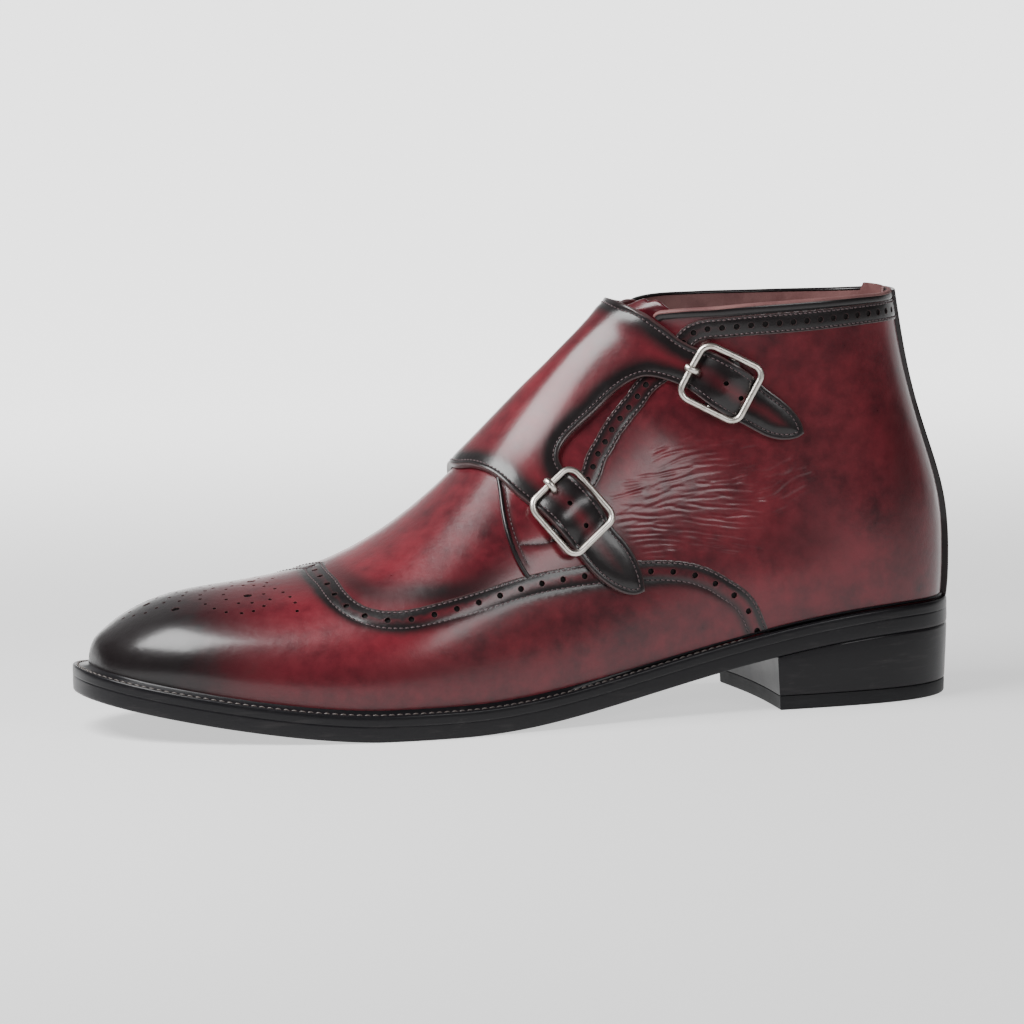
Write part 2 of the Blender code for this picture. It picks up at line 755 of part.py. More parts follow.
def buckle_ring(strap):
    """Closed wire frame of the buckle, following the curve of the foot."""
    straight_length = BUCKLE_HALF_LENGTH - BUCKLE_CORNER
    straight_width = BUCKLE_HALF_WIDTH - BUCKLE_CORNER
    round_wire = wire_angles()
    loops = []
    for quarter, (run_sign, across_sign) in enumerate(((1, 1), (-1, 1), (-1, -1), (1, -1))):
        for part in np.linspace(0, 1, CORNER_STEPS + 1):
            angle = (quarter + part) * math.pi / 2
            out = np.array([math.cos(angle), math.sin(angle)])
            middle = np.array([run_sign * straight_length, across_sign * straight_width])
            place_on_wire = middle + BUCKLE_CORNER * out
            flat = place_on_wire + WIRE_RADIUS * np.cos(round_wire)[:, None] * out
            height = WIRE_HEIGHT + WIRE_RADIUS * np.sin(round_wire)
            loops.append(np.column_stack([flat, height]))
    return on_strap(strap, np.array(loops), closed=True)


def buckle_bar(strap):
    """Centre bar across the frame, set lower than the wire."""
    round_wire = wire_angles()
    loops = []
    for across in np.linspace(-BUCKLE_HALF_WIDTH, BUCKLE_HALF_WIDTH, BAR_STEPS + 1):
        run = BAR_RADIUS * np.cos(round_wire)
        height = BAR_HEIGHT + BAR_RADIUS * np.sin(round_wire)
        loops.append(np.column_stack([run, np.full_like(run, across), height]))
    return on_strap(strap, np.array(loops), closed=False)


def prong(strap):
    """Prong hooked on the centre bar, through the strap and over the frame."""
    hook = arc_points(PRONG_HOOK, *PRONG_ARC, PRONG_ARC_POINTS)
    rest = np.array([-BUCKLE_HALF_LENGTH, PRONG_REST_HEIGHT])
    shares = np.linspace(0, 1, PRONG_STEPS + 1)[1:, None]
    blade = hook[-1] + (rest - hook[-1]) * shares
    tip = np.array([[-PRONG_REACH, PRONG_REST_HEIGHT - PRONG_TIP_DROP]])
    path = np.concatenate([hook, blade, tip])
    loops = []
    for (run, height), (go_run, go_height) in zip(path, steps_ahead(path)):
        thick = PRONG_HALF_THICK * np.sin(wire_angles())
        across = PRONG_HALF_WIDTH * np.cos(wire_angles())
        loops.append(np.column_stack([run - go_height * thick, across, height + go_run * thick]))
    return on_strap(strap, np.array(loops), closed=False)


def buckle_tab(strap):
    """Leather tab that holds the buckle: flat on the upper, looped around the bar."""
    lying = GAP + TAB_THICK / 2
    flat = np.array([(TAB_REACH, lying), (TAB_FLAT_TO, lying)])
    path = np.concatenate([flat, arc_points(TAB_LOOP, *TAB_ARC, TAB_ARC_POINTS)])
    ahead = steps_ahead(path)
    side = np.stack([-ahead[:, 1], ahead[:, 0]], -1) * TAB_THICK / 2
    across = np.array([-TAB_HALF_WIDTH, -TAB_SLOT, TAB_SLOT, TAB_HALF_WIDTH])

    def keep(row, column):
        in_slot = column == 1 and row >= 1
        return not in_slot

    sheets = []
    for face in (path + side, path - side):
        run, wide = np.meshgrid(face[:, 0], across, indexing="ij")
        height = np.broadcast_to(face[:, 1:], run.shape)
        sheets.append(strap_point(strap, run, wide, height))
    return shell(sheets[0], sheets[1], grid_quads(len(path), len(across), keep))


# ---- build ----

Finish = namedtuple("Finish", "name colour roughness metallic")
BURGUNDY = Finish("burgundy_leather", (0.115, 0.014, 0.018, 1.0), 0.28, 0.0)
LINING = Finish("brown_lining_leather", (0.16, 0.055, 0.045, 1.0), 0.60, 0.0)
INSOLE = Finish("tan_insole_leather", (0.30, 0.15, 0.08, 1.0), 0.70, 0.0)
EDGE = Finish("black_sole_leather", (0.018, 0.017, 0.017, 1.0), 0.35, 0.0)
RUBBER = Finish("black_top_lift_rubber", (0.012, 0.012, 0.012, 1.0), 0.70, 0.0)
STEEL = Finish("nickel_plated_buckle", (0.72, 0.68, 0.63, 1.0), 0.28, 1.0)
SHARP_ANGLE = math.radians(35)


def clear_scene():
    """Remove every object that a new file starts with."""
    for thing in list(bpy.data.objects):
        bpy.data.objects.remove(thing, do_unlink=True)


def material(name, finish):
    """Principled material of one piece, in the given finish."""
    made = bpy.data.materials.new(f"{name}_{finish.name}")
    made.use_nodes = True
    shader = made.node_tree.nodes["Principled BSDF"]
    shader.inputs["Base Color"].default_value = finish.colour
    shader.inputs["Roughness"].default_value = finish.roughness
    shader.inputs["Metallic"].default_value = finish.metallic
    return made


def place(name, finish, solid):
    """Object of a solid, turned from shoe millimetres to the part's metres."""
    points, faces = solid
    world = np.stack([HEEL_CENTRE - points[:, 0], points[:, 1], points[:, 2]], -1) * MM
    mesh = bpy.data.meshes.new(name)
    mesh.from_pydata(world.tolist(), [], faces)
    form = bmesh.new()
    form.from_mesh(mesh)
    bmesh.ops.triangulate(form, faces=form.faces)
    if form.calc_volume(signed=True) < 0:
        bmesh.ops.reverse_faces(form, faces=form.faces)
    form.to_mesh(mesh)
    form.free()
    mesh.shade_smooth()
    mesh.set_sharp_from_angle(angle=SHARP_ANGLE)
    mesh.materials.append(material(name, finish))
    thing = bpy.data.objects.new(name, mesh)
    bpy.context.scene.collection.objects.link(thing)
    return thing


def join_by_union(base, added):
    """Unite a helper solid with its base, and hide the helper."""
    added.hide_render = True
    added.display_type = "WIRE"
    union = base.modifiers.new("union", "BOOLEAN")
    union.operation = "UNION"
    union.solver = "EXACT"
    union.object = added


def build():
    """Make every piece of the boot."""
    clear_scene()
    place("outsole", EDGE, outsole())
    place("heel_stack", EDGE, heel_stack())
    place("top_lift", RUBBER, top_lift())
    place("welt", EDGE, welt())
    place("insole", INSOLE, insole())
    place("vamp", BURGUNDY, vamp())
    place("quarter_lateral", BURGUNDY, quarter(-1))
    place("quarter_medial", BURGUNDY, quarter(1))
    place("tongue", LINING, tongue())
    place("strap_flap", BURGUNDY, flap())
    for strap in STRAPS:
        frame = place(f"buckle_frame_{strap.name}", STEEL, buckle_ring(strap))
        bar = place(f"buckle_bar_{strap.name}", STEEL, buckle_bar(strap))
        join_by_union(frame, bar)
        place(f"prong_{strap.name}", STEEL, prong(strap))
        place(f"buckle_tab_{strap.name}", BURGUNDY, buckle_tab(strap))


build()
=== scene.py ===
"""Visual model of a double monk strap boot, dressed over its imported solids.

Shoe coordinates are millimetres: along from the back of the heel to the toe,
across with the lateral side negative, and up from the floor.  A place on the
upper is a station, counted along the sections of the last, and a turn around
the section: -2 at the keel on the lateral side, -1 at its widest point, 0 at
the ridge, 1 and 2 the same on the medial side.
"""

from __future__ import annotations

import logging
import math
from collections.abc import Callable, Iterable, Sequence
from dataclasses import dataclass, field, replace
from enum import Enum
from typing import NamedTuple, TypeAlias

import bmesh
import bpy
import numpy as np
from mathutils import Matrix, Vector
from mathutils.geometry import delaunay_2d_cdt
from mathutils.kdtree import KDTree

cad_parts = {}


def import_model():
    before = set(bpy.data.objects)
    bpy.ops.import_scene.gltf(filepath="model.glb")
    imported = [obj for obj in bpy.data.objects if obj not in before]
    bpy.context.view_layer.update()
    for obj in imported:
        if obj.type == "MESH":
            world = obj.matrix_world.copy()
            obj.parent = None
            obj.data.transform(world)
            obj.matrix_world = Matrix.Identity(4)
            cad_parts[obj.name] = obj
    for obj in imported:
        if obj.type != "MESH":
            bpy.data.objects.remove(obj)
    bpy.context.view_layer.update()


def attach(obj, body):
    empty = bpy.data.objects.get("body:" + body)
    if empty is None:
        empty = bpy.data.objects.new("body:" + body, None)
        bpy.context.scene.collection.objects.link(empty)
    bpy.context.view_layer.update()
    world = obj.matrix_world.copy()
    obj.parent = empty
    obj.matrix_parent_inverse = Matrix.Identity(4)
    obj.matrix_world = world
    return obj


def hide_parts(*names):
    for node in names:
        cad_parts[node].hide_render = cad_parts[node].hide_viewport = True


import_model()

LOG = logging.getLogger("boot")
BODY = "root"
MM = 0.001
HEEL_CENTRE = 35.0
TINY = 1e-6
FAR = 60.0
PANEL_SHARP = 50.0
FOLD_WELD = 0.06
SOLID_WELD = 0.004

Array: TypeAlias = np.ndarray
Colour: TypeAlias = tuple[float, float, float]
Faces: TypeAlias = list[tuple[int, ...]]


# ---- curves and the last ----

def travelled(points: Array) -> Array:
    """Distance of each point from the first, along the line through them."""
    return np.concatenate([[0], np.cumsum(np.linalg.norm(np.diff(points, axis=0), axis=1))])


def integrated(speed: Array, knots: Array) -> Array:
    """Sum of a speed given at knots, from the first knot to each."""
    return np.concatenate([[0], np.cumsum((speed[1:] + speed[:-1]) / 2 * np.diff(knots))])


class Spline:
    """Natural cubic spline through rows of values at given knots."""

    def __init__(self, knots: Sequence[float], rows: Array) -> None:
        """Work out the bends once.

        Args:
            knots: Rising places of the rows.
            rows: One row of values for each knot.
        """
        self.knots = np.asarray(knots, float)
        self.rows = np.asarray(rows, float)
        self.step = np.diff(self.knots)
        count = len(self.knots)
        system = np.eye(count)
        pull = np.zeros_like(self.rows)
        for i in range(1, count - 1):
            before, after = self.step[i - 1], self.step[i]
            system[i, i - 1:i + 2] = before, 2 * (before + after), after
            rise = (self.rows[i + 1] - self.rows[i]) / after
            pull[i] = 6 * (rise - (self.rows[i] - self.rows[i - 1]) / before)
        self.bend = np.linalg.solve(system, pull)

    def at(self, places: Array) -> Array:
        """Values at places, held at the ends.

        Args:
            places: Any array of places.

        Returns:
            An array with one more axis, the columns of the rows.
        """
        places = np.clip(np.asarray(places, float), self.knots[0], self.knots[-1])
        i = np.clip(np.searchsorted(self.knots, places, side="right") - 1, 0, len(self.step) - 1)
        width = self.step[i][..., None]
        b = (places - self.knots[i])[..., None] / width
        a = 1 - b
        curve = ((a**3 - a) * self.bend[i] + (b**3 - b) * self.bend[i + 1]) * width**2 / 6
        return a * self.rows[i] + b * self.rows[i + 1] + curve


class Section(NamedTuple):
    """One section of the last, in a plane square to the side view, in millimetres."""

    keel_along: float
    keel_up: float
    ridge_along: float
    ridge_up: float
    centre: float
    lateral: float
    medial: float
    wide_at: float
    crown: float


SECTIONS = (
    Section(300.4, 6.0, 300.4, 25.0, 3.5, 3.5, 3.5, 0.60, 0.60),
    Section(298.8, 5.0, 298.8, 29.8, 3.5, -6.5, 12.0, 0.59, 0.60),
    Section(294.6, 3.5, 294.6, 33.8, 3.5, -15.0, 19.5, 0.58, 0.60),
    Section(286.8, 1.0, 286.8, 38.8, 3.5, -23.5, 27.0, 0.56, 0.60),
    Section(272.0, -4.0, 272.0, 44.4, 3.5, -32.5, 34.5, 0.53, 0.60),
    Section(250.0, -10.0, 250.0, 47.4, 3.5, -41.0, 41.5, 0.50, 0.60),
    Section(222.0, -15.0, 222.0, 52.4, 4.0, -48.0, 46.0, 0.47, 0.60),
    Section(192.0, -18.0, 194.0, 66.2, 4.0, -49.5, 44.5, 0.42, 0.58),
    Section(160.0, -17.0, 172.0, 84.6, 4.0, -45.0, 38.5, 0.37, 0.56),
    Section(125.0, -12.0, 158.0, 98.6, 3.0, -38.5, 33.0, 0.37, 0.54),
    Section(85.0, -3.0, 148.0, 108.6, 2.0, -34.5, 31.0, 0.39, 0.54),
    Section(42.0, 4.0, 140.5, 115.8, 1.0, -33.0, 31.0, 0.38, 0.54),
    Section(13.5, 13.0, 135.0, 121.2, 0.5, -32.0, 31.0, 0.36, 0.54),
    Section(3.4, 28.0, 130.5, 125.6, 0.0, -31.5, 31.0, 0.36, 0.54),
    Section(1.6, 46.0, 127.0, 129.0, 0.0, -31.0, 30.5, 0.38, 0.54),
    Section(2.8, 68.0, 124.0, 132.0, 0.0, -30.0, 30.0, 0.42, 0.55),
    Section(9.5, 92.0, 121.5, 134.8, 0.0, -29.5, 29.5, 0.45, 0.56),
    Section(15.9, 116.0, 119.4, 137.0, 0.0, -29.5, 29.5, 0.47, 0.57),
    Section(20.1, 141.0, 117.6, 138.9, 0.0, -30.0, 30.0, 0.50, 0.58),
    Section(22.6, 158.0, 110.0, 147.0, 0.0, -31.0, 31.0, 0.50, 0.58),
)


class Margin(NamedTuple):
    """Width of the sole's ledge at a place along the shoe."""

    along: float
    margin: float


MARGINS = (
    Margin(0.0, 3.0),
    Margin(70.0, 3.5),
    Margin(120.0, 4.0),
    Margin(160.0, 5.0),
    Margin(240.0, 5.5),
    Margin(306.0, 5.6),
)


@dataclass(frozen=True)
class SoleSizes:
    """Sizes of the bottom of the shoe, in millimetres."""

    length: float = 306.0
    heel_height: float = 24.2
    toe_spring: float = 13.5
    spring_power: float = 1.5
    flat_from: float = 185.0
    flat_to: float = 212.0
    heel_level_from: float = 15.0
    outsole: float = 5.5
    insole: float = 3.0
    top_lift: float = 5.0
    breast_lateral: float = 70.0
    breast_medial: float = 73.0
    gap: float = 0.3

    def tread_up(self, along: Array) -> Array:
        """Height of the outsole's underside at places along the shoe."""
        along = np.asarray(along, float)
        back = np.clip((self.flat_from - along) / (self.flat_from - self.heel_level_from), 0, 1)
        front = np.clip((along - self.flat_to) / (self.length - self.flat_to), 0, None)
        heel = self.heel_height * (1 - np.cos(math.pi * back)) / 2
        return heel + self.toe_spring * front**self.spring_power

    def seat_up(self, along: Array) -> Array:
        """Height of the upper's lower edge, a gap above the outsole."""
        return self.tread_up(along) + self.outsole + self.gap


def bisected(shape: tuple[int, ...], top: float, before: Callable[[Array], Array]) -> Array:
    """Places from 0 to `top` where `before` stops being true."""
    low, high = np.zeros(shape), np.full(shape, top)
    for _ in range(34):
        middle = (low + high) / 2
        inside = before(middle)
        low, high = np.where(inside, middle, low), np.where(inside, high, middle)
    return (low + high) / 2


class Last:
    """The form of the foot that every piece of the upper is laid on."""

    keel_fullness = 0.62
    collar = 18.0
    heel_search_from = 11.0
    nudge = 0.002

    def __init__(self, sole: SoleSizes) -> None:
        """Lay a spline through the sections, carried past the toe to make it round."""
        self.sole = sole
        rows = [list(row) for row in SECTIONS]
        beyond = [list(row._replace(lateral=row.medial, medial=row.lateral)) for row in SECTIONS[2:0:-1]]
        self.spline = Spline(range(-len(beyond), len(rows)), np.array(beyond + rows))

    def point(self, station: Array, turn: Array) -> Array:
        """Point on the last's surface at stations and turns, in shoe millimetres."""
        station, turn = np.broadcast_arrays(np.asarray(station, float), np.asarray(turn, float))
        row = Section(*np.moveaxis(self.spline.at(station), -1, 0))
        level, reach = self.shape(row, turn)
        widest = np.where(turn < 0, row.lateral, row.medial)
        parts = (
            row.keel_along + (row.ridge_along - row.keel_along) * level,
            row.centre + (widest - row.centre) * reach,
            row.keel_up + (row.ridge_up - row.keel_up) * level,
        )
        return np.stack(parts, -1)

    def shape(self, row: Section, turn: Array) -> tuple[Array, Array]:
        """Part of a section's height and of its reach across, at a turn."""
        low = np.abs(turn) > 1
        t = np.where(low, np.abs(turn) - 1, 1 - np.abs(turn))
        full = np.where(low, self.keel_fullness, row.crown)
        span = np.where(low, -row.wide_at, 1 - row.wide_at)
        s = 1 - t
        reach = s**3 + 3 * s * s * t + 3 * s * t * t * full
        rise = 3 * s * s * t * full + 3 * s * t * t + t**3
        return row.wide_at + span * rise, reach

    def slopes(self, station: Array, turn: Array) -> tuple[Array, Array]:
        """Change of the point for each unit of station and of turn."""
        n = self.nudge
        along = (self.point(station + n, turn) - self.point(station - n, turn)) / (2 * n)
        around = (self.point(station, turn + n) - self.point(station, turn - n)) / (2 * n)
        return along, around

    def normal(self, station: Array, turn: Array) -> Array:
        """Unit normals that point away from the foot."""
        station, turn = np.broadcast_arrays(np.asarray(station, float), np.asarray(turn, float))
        along, around = self.slopes(np.maximum(station, self.nudge * 2), turn)
        normal = np.cross(around, along)
        normal /= np.linalg.norm(normal, axis=-1, keepdims=True)
        normal[station < TINY] = (1.0, 0.0, 0.0)
        return normal

    def raised(self, station: Array, turn: Array, height: Array | float) -> Array:
        """Points at a height outside the last, or inside it where that is negative."""
        height = np.broadcast_to(np.asarray(height, float), np.shape(station))
        return self.point(station, turn) + height[..., None] * self.normal(station, turn)

    def stepped(self, places: Array, step: Array) -> Array:
        """Places moved over the surface by small steps in shoe millimetres."""
        along, around = self.slopes(places[:, 0], places[:, 1])
        a, b, c = (along * along).sum(1), (along * around).sum(1), (around * around).sum(1)
        p, q = (step * along).sum(1), (step * around).sum(1)
        scale = np.maximum(a * c - b * b, TINY)
        return places + np.stack([(p * c - q * b) / scale, (a * q - b * p) / scale], -1)

    def from_side(self, along: Array, up: Array, side: int = -1) -> Array:
        """Places on one side of the last that have these side view coordinates."""
        along, up = np.asarray(along, float), np.asarray(up, float)

        def ahead(station: Array) -> Array:
            """Whether the place lies ahead of the section at a station."""
            row = Section(*np.moveaxis(self.spline.at(station), -1, 0))
            rise = (row.ridge_along - row.keel_along, row.ridge_up - row.keel_up)
            return rise[0] * (up - row.keel_up) - rise[1] * (along - row.keel_along) > 0

        station = bisected(along.shape, len(SECTIONS) - 1.0, ahead)
        row = Section(*np.moveaxis(self.spline.at(station), -1, 0))
        rise = np.stack([row.ridge_along - row.keel_along, row.ridge_up - row.keel_up], -1)
        place = np.stack([along - row.keel_along, up - row.keel_up], -1)
        wanted = (place * rise).sum(-1) / (rise * rise).sum(-1)
        turn = bisected(along.shape, 2.0, lambda middle: self.shape(row, middle)[0] > wanted)
        return np.stack([station, side * turn], -1)

    def edge_turns(self, stations: Array, side: int, lift: float) -> Array:
        """Turns where each section stands `lift` above the seat."""

        def above(turn: Array) -> Array:
            """Whether the point at a turn stands above the wanted height."""
            point = self.point(stations, side * turn)
            return point[..., 2] > self.sole.seat_up(point[..., 0]) + lift

        return side * bisected(stations.shape, 2.0, above)

    def heel_station(self, lift: float) -> float:
        """Station whose keel point stands `lift` above the seat, behind the heel."""
        stations = np.linspace(self.heel_search_from, self.collar, 400)
        keel = self.point(stations, np.full(400, 2.0))
        height = keel[:, 2] - self.sole.seat_up(keel[:, 0]) - lift
        return float(np.interp(0.0, height, stations))

    def foot_outline(self, lift: float, steps: int = 150) -> Array:
        """Closed outline of the upper at a lift, from the heel by the lateral side."""
        stations = self.heel_station(lift) * np.sin(np.linspace(0, math.pi / 2, steps + 1))
        lateral = self.point(stations, self.edge_turns(stations, -1, lift))
        medial = self.point(stations, self.edge_turns(stations, 1, lift))
        return np.concatenate([lateral[::-1], medial[1:-1]])


def grown(outline: Array, widths: Array | float) -> Array:
    """Plan outline moved outwards by the given widths."""
    ahead = np.roll(outline, -1, axis=0) - np.roll(outline, 1, axis=0)
    outward = np.stack([ahead[:, 1], -ahead[:, 0]], -1)
    outward /= np.linalg.norm(outward, axis=1, keepdims=True)
    return outline[:, :2] + outward * np.broadcast_to(widths, len(outline))[:, None]


def world(points: Array) -> Array:
    """Shoe millimetres turned to the part's own frame in metres."""
    points = np.asarray(points, float)
    return np.stack([HEEL_CENTRE - points[..., 0], points[..., 1], points[..., 2]], -1) * MM


@dataclass(frozen=True)
class Path:
    """Curve on the last, as places of station and turn."""

    last: Last
    places: Array
    closed: bool = False

    @classmethod
    def through(cls, last: Last, knots: Sequence[tuple[float, float]], step: float = 1.0) -> Path:
        """Smooth path through knots, with a place about every `step` millimetres."""
        knots = np.asarray(knots, float)
        if len(knots) > 2:
            points = last.point(knots[:, 0], knots[:, 1])
            run = travelled(points)
            fine = Spline(run, knots).at(np.linspace(0, run[-1], 24 * len(knots)))
        else:
            fine = knots[0] + (knots[1] - knots[0]) * np.linspace(0, 1, 60)[:, None]
        return cls(last, fine).even(step)

    @classmethod
    def joined(cls, *paths: Path) -> Path:
        """Closed path made of paths whose ends meet."""
        rows = []
        for path in paths:
            rows.extend(path.places if not rows else path.places[1:])
        if np.allclose(rows[0], rows[-1], atol=1e-4):
            rows = rows[:-1]
        return cls(paths[0].last, np.array(rows), closed=True)

    def points(self, height: float = 0.0) -> Array:
        """Points of the path at a height above the last."""
        return self.last.raised(self.places[:, 0], self.places[:, 1], height)

    def runs(self) -> Array:
        """Distance of each place from the path's start."""
        points = self.last.point(self.places[:, 0], self.places[:, 1])
        if self.closed:
            points = np.concatenate([points, points[:1]])
        return travelled(points)

    def at(self, runs: Array) -> Array:
        """Places at distances from the path's start."""
        own = self.runs()
        places = np.concatenate([self.places, self.places[:1]]) if self.closed else self.places
        return np.stack([np.interp(runs, own, places[:, k]) for k in (0, 1)], -1)

    def even(self, step: float, start: float = 0.0, stop: float | None = None) -> Path:
        """Path between two distances, with even steps."""
        length = self.runs()[-1]
        stop = length if stop is None else (stop if stop > 0 else length + stop)
        count = max(2, round((stop - start) / step) + 1)
        runs = np.linspace(start, stop, count)
        if self.closed and stop == length:
            return replace(self, places=self.at(runs[:-1]))
        return replace(self, places=self.at(runs), closed=False)

    def back(self) -> Path:
        """The same path, walked the other way."""
        return replace(self, places=self.places[::-1])

    def beside(self, distance: float, steps: int = 3) -> Path:
        """Path moved sideways over the surface, positive to the walker's left."""
        places = self.places.copy()
        for _ in range(steps):
            station, turn = places[:, 0], places[:, 1]
            points = self.last.point(station, turn)
            if self.closed:
                ahead = np.roll(points, -1, axis=0) - np.roll(points, 1, axis=0)
            else:
                ahead = np.gradient(points, axis=0)
            ahead /= np.maximum(np.linalg.norm(ahead, axis=1, keepdims=True), TINY)
            side = np.cross(self.last.normal(station, turn), ahead) * distance / steps
            places = self.last.stepped(places, side)
        return replace(self, places=places)


class Nearest:
    """Distances to the nearest of a set of points."""

    def __init__(self, points: Array) -> None:
        """Sort the points into a tree."""
        self.tree = KDTree(len(points))
        for i, point in enumerate(points):
            self.tree.insert(point, i)
        self.tree.balance()

    def distance(self, points: Array) -> Array:
        """Distance from each point to the nearest one in the tree."""
        find = self.tree.find
        return np.array([find(point)[2] for point in points.tolist()])


def inside(loop: Array, points: Array) -> Array:
    """Which flat points lie inside a flat closed loop."""
    found = np.zeros(len(points), bool)
    x, y = points[:, 0], points[:, 1]
    for (ax, ay), (bx, by) in zip(loop, np.roll(loop, -1, axis=0)):
        crosses = (ay > y) != (by > y)
        if ay != by:
            found ^= crosses & (x < ax + (y - ay) * (bx - ax) / (by - ay))
    return found


# ---- panels of leather ----

class Kind(Enum):
    """What a border of a panel does."""

    CUT = "cut"
    TUCKED = "tucked"
    FOLD = "fold"


class Border(NamedTuple):
    """Part of a panel's outline."""

    path: Path
    kind: Kind


class Hole(NamedTuple):
    """Punched hole, round or drawn out along the surface."""

    station: float
    turn: float
    radius: float
    stretch: float = 1.0
    heading: float = 0.0


@dataclass(frozen=True)
class Row:
    """Row of stitches along a path, with the groove it pulls into the leather."""

    path: Path
    pitch: float = 1.9
    radius: float = 0.25
    depth: float = 0.16
    half_gap: float = 0.22
    rise: float = 0.75
    dip: float = 1.5


@dataclass
class Ground:
    """Where the points of a panel lie, and how far from its edges and rows."""

    places: Array
    points: Array
    edge: Array
    row: Array


Relief: TypeAlias = Callable[[Ground], Array]


def faded(value: Array, low: float, high: float) -> Array:
    """Smooth step from 0 at `low` to 1 at `high`, either way round."""
    part = np.clip((np.asarray(value) - low) / (high - low), 0, 1)
    return part * part * (3 - 2 * part)


@dataclass(frozen=True)
class Lattice:
    """How densely the points of a panel are laid, in millimetres.

    Args:
        row_share: Distance between rows as a share of the spacing.
        least_gap: Rows are never taken as closer than this.
        halvings: How often the spacing may double away from fine areas.
        stations: Samples along the last that measure the rows.
        crossings: Samples around the last that measure the rows.
        turns: Samples along each row.
        clearance: Distance from fixed points, as a share of the spacing.
        hole_band: Distance of the ring of points around a hole.
        edge_step: Distance between points beside a cut edge.
        guide_gap: Least distance between points beside edges and rows.
        outline_gap: Least distance of those from the outline.
        guide_hole_gap: Least distance of those from a hole.
        grid_hole_gap: Least distance of the other points from a hole.
        meeting: Places closer than this are one place of the outline.
        edge_samples: Distance between samples that measure how far an edge is.
        row_samples: The same for stitch rows.
    """

    row_share: float = 0.87
    least_gap: float = 0.02
    halvings: int = 5
    stations: int = 400
    crossings: int = 25
    turns: int = 500
    clearance: float = 0.5
    hole_band: float = 0.22
    edge_step: float = 0.9
    guide_gap: float = 0.11
    outline_gap: float = 0.09
    guide_hole_gap: float = 0.1
    grid_hole_gap: float = 0.5
    meeting: float = 2e-3
    edge_samples: float = 0.3
    row_samples: float = 0.4


